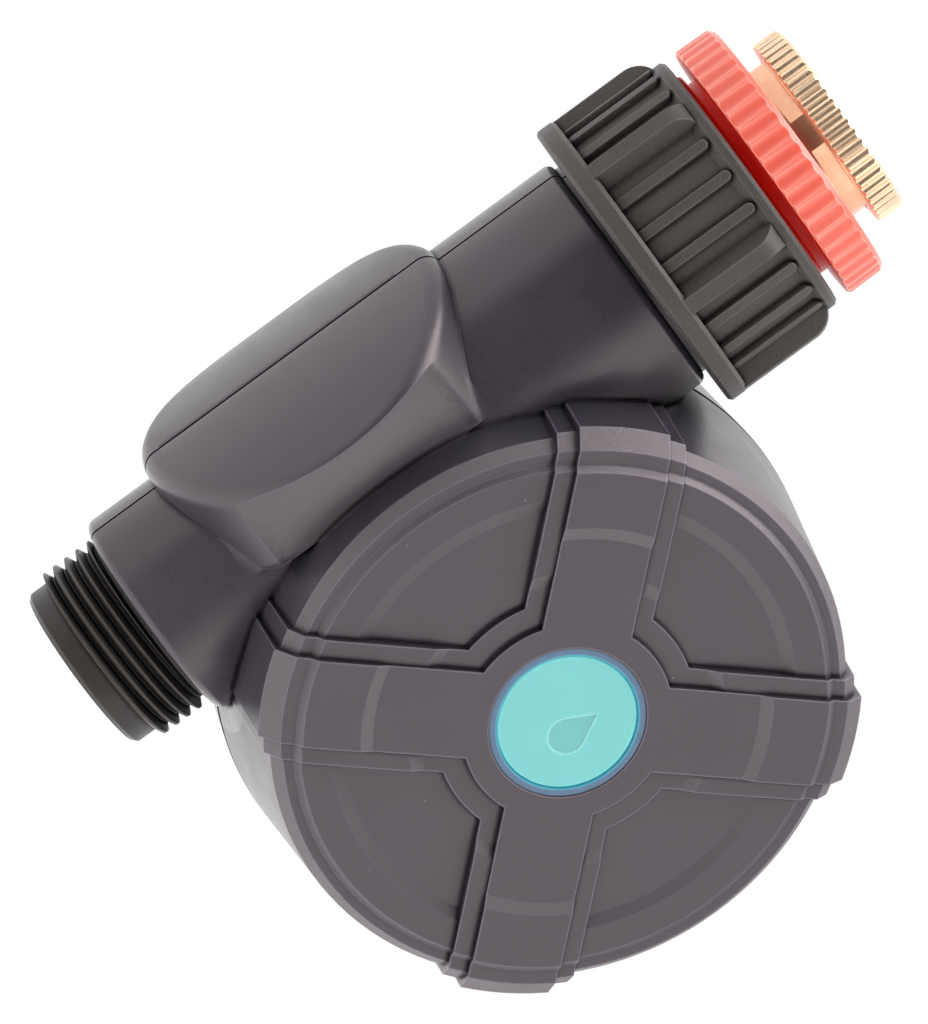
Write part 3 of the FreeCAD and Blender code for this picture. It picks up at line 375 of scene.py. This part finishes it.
def moulded(name, color, roughness, grain, depth, specular=0.5, mottle=0.14, relief=False):
    """Grained plastic: fine pits, cloudy tone, outer edges painted paler (partly wear, partly painted
    highlight), painted shade in inner corners and a few specks of dust.

    Relief adds what the casing has besides: paler grain on its slopes (partly real grain, partly
    painted light), the hump's wall painted paler as painted light, a smoother sleeve, a rounder hump
    and a painted shadow along the seam."""
    tint = (1.0, 0.87, 0.88, 1.0) if relief else (1.0, 0.96, 0.94, 1.0)
    shader = Shader(name, {"Specular IOR Level": specular, "Specular Tint": tint})
    pits = shader.noise(grain, 3.0, 0.6)
    clouds = shader.noise(14 * MM, 4.0)
    streaks = shader.noise(5 * MM, 3.0, 0.6)
    sky = shader.open_sky(0.8 * MM)
    edge_wear_and_highlight = shader.edge(0.4 * MM) * sky
    # Painted shade: black mixed in where inner corners close in.
    shade = (1 - sky) * 0.9
    color_map = shader.mix(pits, tone(color, 1 - mottle), tone(color, 1 + mottle))
    color_map = shader.mix(shader.ramp(clouds, [(0.35, 0.0), (0.65, 0.30)]), color_map, tone(color, 1.18))
    roughness_map = roughness + (streaks - 0.5) * 0.16 + (pits - 0.5) * 0.10
    if relief:
        slope = shader.slope()
        flank = shader.flank()
        # Paler grain on the slopes is partly their real grain, partly painted light; on the hump's wall it
        # is painted light only.
        grain_and_painted_light = shader.mix(pits, (0.040, 0.035, 0.041, 1.0), (0.105, 0.092, 0.106, 1.0))
        color_map = shader.mix(slope, color_map, grain_and_painted_light)
        color_map = shader.mix(flank * 0.95, color_map, grain_and_painted_light)
        sleeve = (shader.radius(z_axis) < sleeve_r) * (1 - shader.hump())
        roughness_map = roughness_map + slope * 0.15 - sleeve * 0.06
        depth = depth * (1 + slope * 2.5 - sleeve * 0.4)
        # Painted shadow: black mixed in along the seam between the shells, wider past the drum's step.
        offset = shader.magnitude(shader.along("Y"))
        half_width = seam_shadow_half_width + (shader.along("X") > seam_step_x) * seam_step
        shade = shade + shader.ramp(offset / half_width, [(0.85, 1.0), (1.0, 0.0)])
    shader.gap(shade)
    # Outer edges painted paler: partly wear, partly painted highlight.
    color_map = shader.mix(edge_wear_and_highlight * 0.8, color_map, tone(color, 5.5 if relief else 2.6))
    color_map = shader.mix(shader.specks(1.6 * MM) * 0.5, color_map, (0.60, 0.58, 0.55, 1.0))
    normal = shader.rounded(0.2 * MM)
    if relief:
        normal = shader.blend(shader.hump(), normal, shader.rounded(1.7 * MM))
        normal = shader.blend(flank * 0.75, normal, (0.0, -1.0, 0.0))
    return shader.finish(color_map, roughness_map, shader.bump(pits * depth, 1.0, normal))


def coral_ring(name, color):
    """Translucent moulded ring: painted lighter on its ridges and deeper in its hollows as painted light
    and shade, faint flow marks.
    """
    surface = {
        "Subsurface Weight": 0.35,
        "Subsurface Radius": (3.0 * MM, 1.0 * MM, 0.6 * MM),
        "Subsurface Scale": 1.0,
        "Coat Weight": 0.12,
        "Coat Roughness": 0.25,
    }
    shader = Shader(name, surface)
    above_foot = (shader.radius(z_axis) - scallop_foot_r) / scallop_depth
    ridge = shader.ramp(above_foot, [(0.15, 0.0), (0.85, 1.0)])
    clouds = shader.noise(5 * MM, 4.0)
    fine = shader.noise(0.35 * MM, 2.0)
    edge_wear_and_highlight = shader.edge(0.3 * MM)
    color_map = shader.mix(clouds, tone(color, 0.88), tone(color, 1.08))
    # Painted light: ridges mixed towards a lighter coral, so the hollows read deeper.
    color_map = shader.mix(ridge * 0.35, color_map, (1.0, 0.42, 0.34, 1.0))
    # Edges painted paler: partly wear, partly painted highlight.
    color_map = shader.mix(edge_wear_and_highlight * 0.4, color_map, (1.0, 0.60, 0.50, 1.0))
    roughness_map = 0.34 + (fine - 0.5) * 0.14 + (clouds - 0.5) * 0.12
    return shader.finish(color_map, roughness_map, shader.bump(fine, 0.012 * MM, shader.rounded(0.2 * MM)))


def red_thread(name, color):
    """The same plastic where it goes down into the collar: deep red, with a painted glow (emission) in
    place of the light let through from the ring above.
    """
    surface = {
        "Specular IOR Level": 0.15,
        "Emission Strength": 0.4,
        "Subsurface Weight": 0.3,
        "Subsurface Radius": (3.0 * MM, 0.5 * MM, 0.3 * MM),
        "Subsurface Scale": 1.0,
    }
    shader = Shader(name, surface)
    clouds = shader.noise(4 * MM, 3.0)
    fine = shader.noise(0.4 * MM, 2.0)
    edge_wear_and_highlight = shader.edge(0.3 * MM)
    color_map = shader.mix(clouds, tone(color, 0.8), tone(color, 1.2))
    # Edges painted paler: partly wear, partly painted highlight.
    color_map = shader.mix(edge_wear_and_highlight * 0.35, color_map, (0.95, 0.16, 0.08, 1.0))
    # Painted glow: red emission stands in for light let through the plastic.
    shader.feed(shader.surface, "Emission Color", shader.mix(clouds, tone(color, 0.35), tone(color, 0.65)))
    roughness_map = 0.34 + (clouds - 0.5) * 0.14 + (fine - 0.5) * 0.08
    return shader.finish(color_map, roughness_map, shader.bump(fine, 0.008 * MM, shader.rounded(0.15 * MM)))


def turned_brass(name, color):
    """Turned metal: rings left by the tool and faint tarnish in darker patches."""
    shader = Shader(name, {"Metallic": 1.0})
    rings = shader.noise(0.35 * MM, 3.0, 0.6, shader.stretched(0.04, 0.04, 1.0))
    tarnish = shader.noise(4 * MM, 5.0, 0.65)
    fine = shader.noise(0.2 * MM, 2.0)
    edge_wear_and_highlight = shader.edge(0.3 * MM)
    color_map = shader.mix(shader.ramp(tarnish, [(0.45, 0.0), (0.80, 0.7)]), color, tone(color, 0.55))
    # Edges painted paler: partly polish from wear, partly painted highlight.
    color_map = shader.mix(edge_wear_and_highlight * 0.6, color_map, tone(color, 1.35))
    outer = shader.radius(z_axis)
    neck = (outer > neck_inner_r) * (outer < neck_outer_r) * (shader.along("Z") > brass_neck_low)
    flush = shader.mix(tarnish, (0.62, 0.20, 0.10, 1.0), (0.86, 0.50, 0.32, 1.0))
    color_map = shader.mix(neck * (0.35 + tarnish * 0.5), color_map, flush)
    roughness_map = 0.25 + (rings - 0.5) * 0.16 + tarnish * 0.16 - edge_wear_and_highlight * 0.04
    normal = shader.bump(rings * 0.7 + fine * 0.3, 0.005 * MM, shader.rounded(0.12 * MM))
    return shader.finish(color_map, roughness_map, normal)


def satin_button(name, color):
    """Turquoise moulding with a soft sheen and hairline scratches, a painted glow (emission) round its rim
    in place of light from the light ring, a painted highlight round the drop's outline, and darker inside
    the drop's recess.
    """
    surface = {
        "Emission Strength": 0.6,
        "Subsurface Weight": 0.12,
        "Subsurface Radius": (0.8 * MM, 1.2 * MM, 1.2 * MM),
        "Subsurface Scale": 1.0,
    }
    shader = Shader(name, surface)
    clouds = shader.noise(6 * MM, 4.0)
    fine = shader.noise(0.22 * MM, 2.0)
    scratches = shader.noise(0.5 * MM, 2.0, 0.5, shader.stretched(1.0, 1.0, 0.06))
    edge_wear_and_highlight = shader.edge(0.4 * MM)
    face_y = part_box("button_cap")[0].y
    sunk = shader.ramp((shader.along("Y") - face_y) / MM, [(0.06, 0.0), (0.12, 1.0)])
    rim = shader.edge(0.8 * MM)
    from_axis = shader.radius(y_axis, drum_axis)
    inner = from_axis < drop_reach
    glow = shader.ramp(from_axis / button_r, [(0.965, 0.0), (1.0, 1.0)])
    color_map = shader.mix(clouds, tone(color, 0.93), tone(color, 1.05))
    color_map = shader.mix(sunk * inner * 0.5, color_map, tone(color, 0.75))
    # Painted highlight: paler round the drop's outline.
    color_map = shader.mix(rim * inner * 0.35, color_map, (0.38, 0.72, 0.68, 1.0))
    # Edges painted paler: partly wear, partly painted highlight.
    color_map = shader.mix(edge_wear_and_highlight * 0.6, color_map, (0.38, 0.80, 0.76, 1.0))
    # Painted glow: emission round the button's rim stands in for light from the light ring.
    lit = shader.mix(glow, (0.0, 0.0, 0.0, 1.0), (0.08, 0.42, 0.44, 1.0))
    shader.feed(shader.surface, "Emission Color", lit)
    roughness_map = 0.42 + (clouds - 0.5) * 0.10 + (scratches - 0.5) * 0.12
    normal = shader.bump(fine * 0.7 + scratches * 0.3, 0.008 * MM, shader.rounded(0.12 * MM))
    return shader.finish(color_map, roughness_map, normal)


def light_guide(name, color):
    """Clear ring that carries the indicator's light, with a dusting of fine haze, a painted glow (emission)
    along its inner edge and a painted shadow line along its outer edge, at the gap to the casing.
    """
    surface = {
        "Subsurface Weight": 0.3,
        "Subsurface Radius": (0.6 * MM, 0.9 * MM, 1.4 * MM),
        "Subsurface Scale": 1.0,
        "Coat Weight": 0.4,
        "Coat Roughness": 0.15,
        "Emission Strength": 0.3,
    }
    shader = Shader(name, surface)
    haze = shader.noise(2.5 * MM, 4.0)
    fine = shader.noise(0.25 * MM, 2.0)
    outward = (shader.radius(y_axis, drum_axis) - ring_inner_r) / ring_width
    inner_line = shader.ramp(outward, [(0.05, 0.6), (0.25, 0.0)])
    # Painted shadow: a dark line along the outer edge, at the gap to the casing.
    outer_gap_shadow = shader.ramp(outward, [(0.80, 0.0), (0.95, 0.85)])
    color_map = shader.mix(haze, tone(color, 0.75), tone(color, 1.15))
    color_map = shader.mix(inner_line, color_map, (0.04, 0.26, 0.34, 1.0))
    color_map = shader.mix(outer_gap_shadow, color_map, (0.01, 0.02, 0.04, 1.0))
    # Painted glow: emission along the inner edge.
    glow = shader.ramp(outward, [(0.0, 1.0), (0.22, 0.0)])
    lit = shader.mix(glow, (0.0, 0.0, 0.0, 1.0), (0.05, 0.34, 0.40, 1.0))
    shader.feed(shader.surface, "Emission Color", lit)
    normal = shader.bump(fine, 0.004 * MM, shader.rounded(0.12 * MM))
    return shader.finish(color_map, 0.24 + haze * 0.14, normal)


def plain_part(name, color, other, roughness, metallic=0.0, depth=0.01 * MM):
    """An inner part: two tones in cloudy patches, fine texture and uneven sheen."""
    shader = Shader(name, {"Metallic": metallic})
    clouds = shader.noise(3 * MM, 4.0)
    fine = shader.noise(0.3 * MM, 3.0, 0.6)
    color_map = shader.mix(shader.ramp(clouds, [(0.3, 0.0), (0.7, 1.0)]), color, other)
    # Edges painted paler: partly wear, partly painted highlight.
    color_map = shader.mix(shader.edge(0.2 * MM) * 0.4, color_map, tone(other, 1.4))
    roughness_map = roughness + (fine - 0.5) * 0.15 + (clouds - 0.5) * 0.10
    return shader.finish(color_map, roughness_map, shader.bump(fine, depth))


def brushed_steel(name, color, along):
    """Drawn metal with fine lines along one direction."""
    shader = Shader(name, {"Metallic": 1.0})
    lines = shader.noise(0.25 * MM, 3.0, 0.6, shader.stretched(*along))
    clouds = shader.noise(5 * MM, 4.0)
    color_map = shader.mix(lines, tone(color, 0.8), tone(color, 1.15))
    color_map = shader.mix(shader.ramp(clouds, [(0.5, 0.0), (0.8, 0.4)]), color_map, tone(color, 0.6))
    roughness_map = 0.28 + (lines - 0.5) * 0.2 + (clouds - 0.5) * 0.1
    return shader.finish(color_map, roughness_map, shader.bump(lines, 0.006 * MM))


def filter_mesh(name, color):
    """Woven strainer: crossed threads as ridges, darker between them."""
    shader = Shader(name)
    threads = sum(shader.waves(direction, 320.0) for direction in "XYZ") / 3.0
    haze = shader.noise(4 * MM, 3.0)
    color_map = shader.mix(shader.ramp(threads, [(0.35, 0.0), (0.65, 1.0)]), tone(color, 0.25), color)
    return shader.finish(color_map, 0.4 + haze * 0.2, shader.bump(threads, 0.06 * MM))


def circuit_lacquer(name, color):
    """Green lacquer over copper tracks that show as slightly lighter paths."""
    shader = Shader(name, {"Coat Weight": 0.3, "Coat Roughness": 0.2})
    sockets = {"Vector": shader.place, "Scale": 420.0}
    grid = shader.node("ShaderNodeTexVoronoi", {"distance": "CHEBYCHEV"}, sockets, "Distance")
    tracks = shader.ramp(grid, [(0.30, 1.0), (0.42, 0.0)])
    fine = shader.noise(0.4 * MM, 3.0)
    color_map = shader.mix(tracks * 0.6, color, tone(color, 1.8))
    color_map = shader.mix(fine * 0.3, color_map, tone(color, 0.6))
    return shader.finish(color_map, 0.32 + fine * 0.12, shader.bump(tracks, 0.03 * MM))


def cell_sleeve(name, color, metal):
    """Printed sleeve with a plain pale band, and bare metal at the ends."""
    shader = Shader(name, {"Coat Weight": 0.3, "Coat Roughness": 0.15})
    middle = (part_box("batteries")[0].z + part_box("batteries")[1].z) / 2
    offset = shader.magnitude(shader.along("Z") - middle)
    end = offset > sleeve_end
    band = (offset > band_from) * (offset < band_to)
    scuffs = shader.noise(1.2 * MM, 4.0, 0.7, shader.stretched(1.0, 1.0, 0.3))
    color_map = shader.mix(shader.ramp(scuffs, [(0.55, 0.0), (0.8, 0.5)]), color, tone(color, 1.7))
    color_map = shader.mix(band * 0.8, color_map, (0.62, 0.64, 0.66, 1.0))
    color_map = shader.mix(end, color_map, metal)
    shader.feed(shader.surface, "Metallic", end)
    return shader.finish(color_map, 0.3 + scuffs * 0.2, shader.bump(scuffs, 0.01 * MM))


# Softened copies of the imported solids

def softened(node, sharpest):
    """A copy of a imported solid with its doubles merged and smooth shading, shown in its place."""
    source = nodes[node]
    work = bmesh.new()
    work.from_mesh(source.data)
    bmesh.ops.remove_doubles(work, verts=work.verts, dist=weld_distance)
    bmesh.ops.dissolve_limit(work, angle_limit=flat_angle, verts=work.verts, edges=work.edges)
    mesh = bpy.data.meshes.new("soft_" + node)
    work.to_mesh(mesh)
    work.free()
    mesh.attributes.remove(mesh.attributes["custom_normal"])
    mesh.shade_smooth()
    mesh.set_sharp_from_angle(angle=math.radians(sharpest))
    piece = bpy.data.objects.new("soft_" + node, mesh)
    bpy.context.scene.collection.objects.link(piece)
    flatness = piece.modifiers.new("flat faces stay flat", "WEIGHTED_NORMAL")
    flatness.mode = "FACE_AREA"
    flatness.weight = 80
    flatness.keep_sharp = True
    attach(piece, source["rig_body"])
    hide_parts(node)
    return piece


def dress(piece, material):
    """Gives a piece one finish, and a piece without slots its first slot."""
    if piece.data.materials:
        for index in range(len(piece.data.materials)):
            piece.data.materials[index] = material
    else:
        piece.data.materials.append(material)


# Settings that a user would change

class CasingSettings(bpy.types.PropertyGroup):
    color: bpy.props.FloatVectorProperty(
        name="Casing colour",
        description="Colour of the drum, the tube and the battery cover",
        subtype="COLOR",
        size=4,
        default=(0.028, 0.0245, 0.034, 1.0),
    )
    grain: bpy.props.FloatProperty(
        name="Grain size",
        description="Size of the pits in the moulded surface",
        unit="LENGTH",
        default=0.17 * MM,
    )
    roughness: bpy.props.FloatProperty(
        name="Roughness",
        description="How dull the casing is",
        subtype="FACTOR",
        default=0.35,
    )


class FittingSettings(bpy.types.PropertyGroup):
    collar_color: bpy.props.FloatVectorProperty(
        name="Collar colour",
        description="Colour of the grip collar",
        subtype="COLOR",
        size=4,
        default=(0.045, 0.040, 0.037, 1.0),
    )
    pipe_color: bpy.props.FloatVectorProperty(
        name="Outlet colour",
        description="Colour of the outlet pipe and its thread",
        subtype="COLOR",
        size=4,
        default=(0.024, 0.021, 0.019, 1.0),
    )
    coral_color: bpy.props.FloatVectorProperty(
        name="Coral colour",
        description="Colour of the wide reducer's ring",
        subtype="COLOR",
        size=4,
        default=(0.74, 0.115, 0.075, 1.0),
    )
    thread_color: bpy.props.FloatVectorProperty(
        name="Red thread colour",
        description="Colour of the wide reducer's clear thread",
        subtype="COLOR",
        size=4,
        default=(0.52, 0.008, 0.004, 1.0),
    )
    brass_color: bpy.props.FloatVectorProperty(
        name="Brass colour",
        description="Colour of the narrow reducer",
        subtype="COLOR",
        size=4,
        default=(0.86, 0.62, 0.42, 1.0),
    )


class ButtonSettings(bpy.types.PropertyGroup):
    color: bpy.props.FloatVectorProperty(
        name="Button colour",
        description="Colour of the push button",
        subtype="COLOR",
        size=4,
        default=(0.16, 0.51, 0.50, 1.0),
    )
    ring_color: bpy.props.FloatVectorProperty(
        name="Light ring colour",
        description="Colour of the ring round the button",
        subtype="COLOR",
        size=4,
        default=(0.055, 0.13, 0.23, 1.0),
    )


class StageSettings(bpy.types.PropertyGroup):
    floor_drop: bpy.props.FloatProperty(
        name="Floor distance",
        description="How far below the outlet's tip the floor lies",
        unit="LENGTH",
        default=0.20,
    )
    ambient: bpy.props.FloatProperty(
        name="Surround light",
        description="How strongly the white surroundings light the object",
        default=0.70,
    )
    reflected: bpy.props.FloatProperty(
        name="Surround reflection",
        description="How much brighter the surroundings are in the object's reflections",
        default=0.60,
    )
    upper_power: bpy.props.FloatProperty(
        name="Upper softbox",
        description="Power of the large soft light beyond the tap's end",
        unit="POWER",
        default=13.0,
    )
    lower_power: bpy.props.FloatProperty(
        name="Lower softbox",
        description="Power of the large soft light beyond the outlet's end",
        unit="POWER",
        default=13.0,
    )
    fill_power: bpy.props.FloatProperty(
        name="Front fill",
        description="Power of the dim light below the camera",
        unit="POWER",
        default=1.1,
    )
    lens: bpy.props.FloatProperty(
        name="Lens",
        description="Focal length of the camera",
        subtype="DISTANCE_CAMERA",
        default=200.8,
    )


# Operators

class TIMER_OT_casing(bpy.types.Operator):
    """Round off the two shells and the battery cover and give them their grained finish"""

    bl_idname = "timer.casing"
    bl_label = "Casing"

    def execute(self, context):
        choice = context.scene.timer_casing
        surface = (tuple(choice.color), choice.roughness, choice.grain, 0.02 * MM, 0.72)
        grained = moulded("casing_grain", *surface, relief=True)
        for node in ("front_shell", "rear_shell", "battery_cover"):
            dress(softened(node, 11), grained)
        return {"FINISHED"}


class TIMER_OT_collar_and_pipe(bpy.types.Operator):
    """Round off the grip collar and the valve's pipe and give them their darker finish"""

    bl_idname = "timer.collar_and_pipe"
    bl_label = "Collar and pipe"

    def execute(self, context):
        choice = context.scene.timer_fittings
        collar = moulded("collar_grain", tuple(choice.collar_color), 0.54, 0.32 * MM, 0.08 * MM, 0.45, 0.6)
        pipe = moulded("pipe_grain", tuple(choice.pipe_color), 0.42, 0.3 * MM, 0.03 * MM, 0.35)
        dress(softened("collar_nut", 14), collar)
        dress(softened("valve_body", 16), pipe)
        return {"FINISHED"}


class TIMER_OT_reducers(bpy.types.Operator):
    """Round off the coral and the brass reducer and give them their finishes"""

    bl_idname = "timer.reducers"
    bl_label = "Reducers"

    def execute(self, context):
        choice = context.scene.timer_fittings
        coral = softened("red_reducer", 16)
        dress(coral, coral_ring("coral_ring", tuple(choice.coral_color)))
        coral.data.materials.append(red_thread("red_thread", tuple(choice.thread_color)))
        for face in coral.data.polygons:
            face.material_index = 1 if face.center.z < coral_ring_low else 0
        brass = softened("brass_reducer", 16)
        dress(brass, turned_brass("turned_brass", tuple(choice.brass_color)))
        return {"FINISHED"}


class TIMER_OT_button(bpy.types.Operator):
    """Round off the push button and the light ring and give them their finishes"""

    bl_idname = "timer.button"
    bl_label = "Button and light ring"

    def execute(self, context):
        choice = context.scene.timer_button
        cap_finish = satin_button("turquoise_button", tuple(choice.color))
        ring_finish = light_guide("light_ring_clear", tuple(choice.ring_color))
        dress(softened("button_cap", 14), cap_finish)
        dress(softened("light_ring", 14), ring_finish)
        return {"FINISHED"}


class TIMER_OT_inner_parts(bpy.types.Operator):
    """Give every part inside the casing its finish"""

    bl_idname = "timer.inner_parts"
    bl_label = "Inner parts"

    def execute(self, context):
        black = (0.012, 0.012, 0.012, 1.0)
        polished, bright = (0.70, 0.70, 0.72, 1.0), (0.80, 0.80, 0.82, 1.0)
        finishes = {
            "rubber": plain_part("seal_rubber", black, (0.03, 0.03, 0.03, 1.0), 0.7, depth=0.02 * MM),
            "seat": plain_part("valve_seat", (0.80, 0.80, 0.76, 1.0), (0.88, 0.88, 0.85, 1.0), 0.35),
            "ball": plain_part("valve_ball", polished, bright, 0.14, metallic=1.0),
            "brass_dark": turned_brass("stem_brass", (0.62, 0.42, 0.20, 1.0)),
            "gear": plain_part("gear_moulding", (0.74, 0.72, 0.64, 1.0), (0.82, 0.80, 0.73, 1.0), 0.42),
            "gearbox": moulded("gearbox_grain", (0.05, 0.054, 0.062, 1.0), 0.48, 0.3 * MM, 0.02 * MM),
            "steel": brushed_steel("steel_drawn", (0.50, 0.50, 0.52, 1.0), (0.15, 1.0, 1.0)),
            "contact": brushed_steel("contact_nickel", (0.66, 0.64, 0.58, 1.0), (1.0, 1.0, 0.2)),
            "board": circuit_lacquer("board_lacquer", (0.010, 0.085, 0.030, 1.0)),
            "black_part": moulded("switch_body", (0.012, 0.012, 0.013, 1.0), 0.45, 0.2 * MM, 0.01 * MM),
            "radio": brushed_steel("radio_can", (0.60, 0.60, 0.61, 1.0), (1.0, 1.0, 0.1)),
            "led": plain_part("indicator_lens", (0.85, 0.85, 0.72, 1.0), (0.92, 0.92, 0.86, 1.0), 0.2),
            "cell": cell_sleeve("cell_sleeve", (0.02, 0.07, 0.16, 1.0), (0.62, 0.62, 0.60, 1.0)),
            "mesh": filter_mesh("strainer_weave", (0.70, 0.72, 0.74, 1.0)),
            "pipe": moulded("retainer_grain", (0.03, 0.03, 0.03, 1.0), 0.45, 0.3 * MM, 0.02 * MM),
        }
        for node in nodes.values():
            if not node.hide_render:
                slot = node.data.materials[0].name.split(".")[0]
                dress(node, finishes[slot])
        return {"FINISHED"}


class TIMER_OT_stage(bpy.types.Operator):
    """Make the pale floor, the soft lights and the camera"""

    bl_idname = "timer.stage"
    bl_label = "Stage"

    def execute(self, context):
        choice = context.scene.timer_stage
        self.make_floor(choice)
        self.make_camera(context, choice)
        self.make_surround(choice)
        middle = Vector(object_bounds()[0]).lerp(Vector(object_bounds()[1]), 0.5)
        above = self.right * 0.80 + self.up * 0.52 + self.back * 0.25
        below = self.back * 0.25 - self.right * 0.80 - self.up * 0.52
        self.make_light("upper_softbox", choice.upper_power, middle, above)
        self.make_light("lower_softbox", choice.lower_power, middle, below)
        front = self.right * 0.42 - self.up * 0.72 + self.back * 0.55
        self.make_light("front_fill", choice.fill_power, middle, front)
        return {"FINISHED"}

    def make_floor(self, choice):
        work = bmesh.new()
        bmesh.ops.create_grid(work, x_segments=1, y_segments=1, size=1.6)
        low = frame_box[0][2] - choice.floor_drop
        bmesh.ops.translate(work, verts=work.verts, vec=(0, 0, low))
        mesh = bpy.data.meshes.new("floor")
        work.to_mesh(mesh)
        work.free()
        floor = bpy.data.objects.new("floor", mesh)
        bpy.context.scene.collection.objects.link(floor)
        shader = Shader("pale_floor", {"Emission Color": (1.0, 1.0, 1.0, 1.0), "Emission Strength": 0.55})
        clouds = shader.noise(0.12, 3.0)
        pale = shader.mix(clouds, (0.90, 0.90, 0.90, 1.0), (0.95, 0.95, 0.95, 1.0))
        dress(floor, shader.finish(pale, 0.7))
        floor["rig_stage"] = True

    def make_surround(self, choice):
        """White to look at, and dimmer as a light, so that the lamps shape the object."""
        world = bpy.data.worlds.new("white_surround")
        around = Nodes(world)
        seen = around.node("ShaderNodeLightPath", out="Is Camera Ray")
        mirrored = around.node("ShaderNodeLightPath", out="Is Glossy Ray")
        heading = around.node("ShaderNodeTexCoord", out="Generated")
        facing = {0: heading, 1: self.back}
        toward = around.node("ShaderNodeVectorMath", {"operation": "DOT_PRODUCT"}, facing, "Value")
        tent = around.ramp(toward, [(0.62, 1.0), (0.76, 0.06)])
        light = tent * (choice.ambient + mirrored * choice.reflected)
        strength = light * (1.0 - seen) + seen
        sockets = {"Color": (1.0, 1.0, 1.0, 1.0), "Strength": strength}
        background = around.node("ShaderNodeBackground", {}, sockets)
        around.node("ShaderNodeOutputWorld", {}, {"Surface": background})
        bpy.context.scene.world = world
        bpy.context.scene.view_settings.view_transform = "Standard"

    def make_camera(self, context, choice):
        """Stand where the photograph was taken from: 750 mm away, tilted over to the left."""
        self.right = view_right.normalized()
        self.up = view_up.normalized()
        self.back = self.right.cross(self.up)
        turn = Matrix((self.right, self.up, self.back)).transposed()
        camera = bpy.data.cameras.new("photo_view")
        camera.lens = choice.lens
        camera.sensor_width = 36.0
        camera.clip_end = 20.0
        viewer = bpy.data.objects.new("photo_view", camera)
        context.scene.collection.objects.link(viewer)
        tube_middle = Vector((0.0, 0.0, drum_axis.z))
        aim = tube_middle + self.right * aim_right + self.up * aim_up
        viewer.matrix_world = Matrix.Translation(aim + self.back * view_distance) @ turn.to_4x4()
        context.scene.camera = viewer

    def make_light(self, name, power, middle, direction):
        lamp = bpy.data.lights.new(name, "AREA")
        lamp.energy = power
        lamp.shape = "DISK"
        lamp.size = lamp_size
        holder = bpy.data.objects.new(name, lamp)
        bpy.context.scene.collection.objects.link(holder)
        direction = direction.normalized()
        turn = direction.to_track_quat("Z", "Y").to_matrix().to_4x4()
        holder.matrix_world = Matrix.Translation(middle + direction * lamp_distance) @ turn


class TIMER_PT_panel(bpy.types.Panel):
    bl_label = "Water timer"
    bl_idname = "TIMER_PT_panel"
    bl_space_type = "VIEW_3D"
    bl_region_type = "UI"
    bl_category = "Timer"

    def draw(self, context):
        for settings, steps in sections.items():
            group = getattr(context.scene, settings)
            box = self.layout.box()
            for name in group.__annotations__:
                box.prop(group, name)
            for step in steps:
                box.operator(step.bl_idname)


sections = {
    "timer_casing": (TIMER_OT_casing,),
    "timer_fittings": (TIMER_OT_collar_and_pipe, TIMER_OT_reducers),
    "timer_button": (TIMER_OT_button, TIMER_OT_inner_parts),
    "timer_stage": (TIMER_OT_stage,),
}
settings_groups = {
    "timer_casing": CasingSettings,
    "timer_fittings": FittingSettings,
    "timer_button": ButtonSettings,
    "timer_stage": StageSettings,
}


def register():
    for name, group in settings_groups.items():
        bpy.utils.register_class(group)
        setattr(bpy.types.Scene, name, bpy.props.PointerProperty(type=group))
    for steps in sections.values():
        for step in steps:
            bpy.utils.register_class(step)
    bpy.utils.register_class(TIMER_PT_panel)


def unregister():
    bpy.utils.unregister_class(TIMER_PT_panel)
    for steps in sections.values():
        for step in steps:
            bpy.utils.unregister_class(step)
    for name, group in settings_groups.items():
        delattr(bpy.types.Scene, name)
        bpy.utils.unregister_class(group)


def main():
    register()
    bpy.ops.timer.casing()
    bpy.ops.timer.collar_and_pipe()
    bpy.ops.timer.reducers()
    bpy.ops.timer.button()
    bpy.ops.timer.inner_parts()
    bpy.ops.timer.stage()


if __name__ == "__main__":
    main()
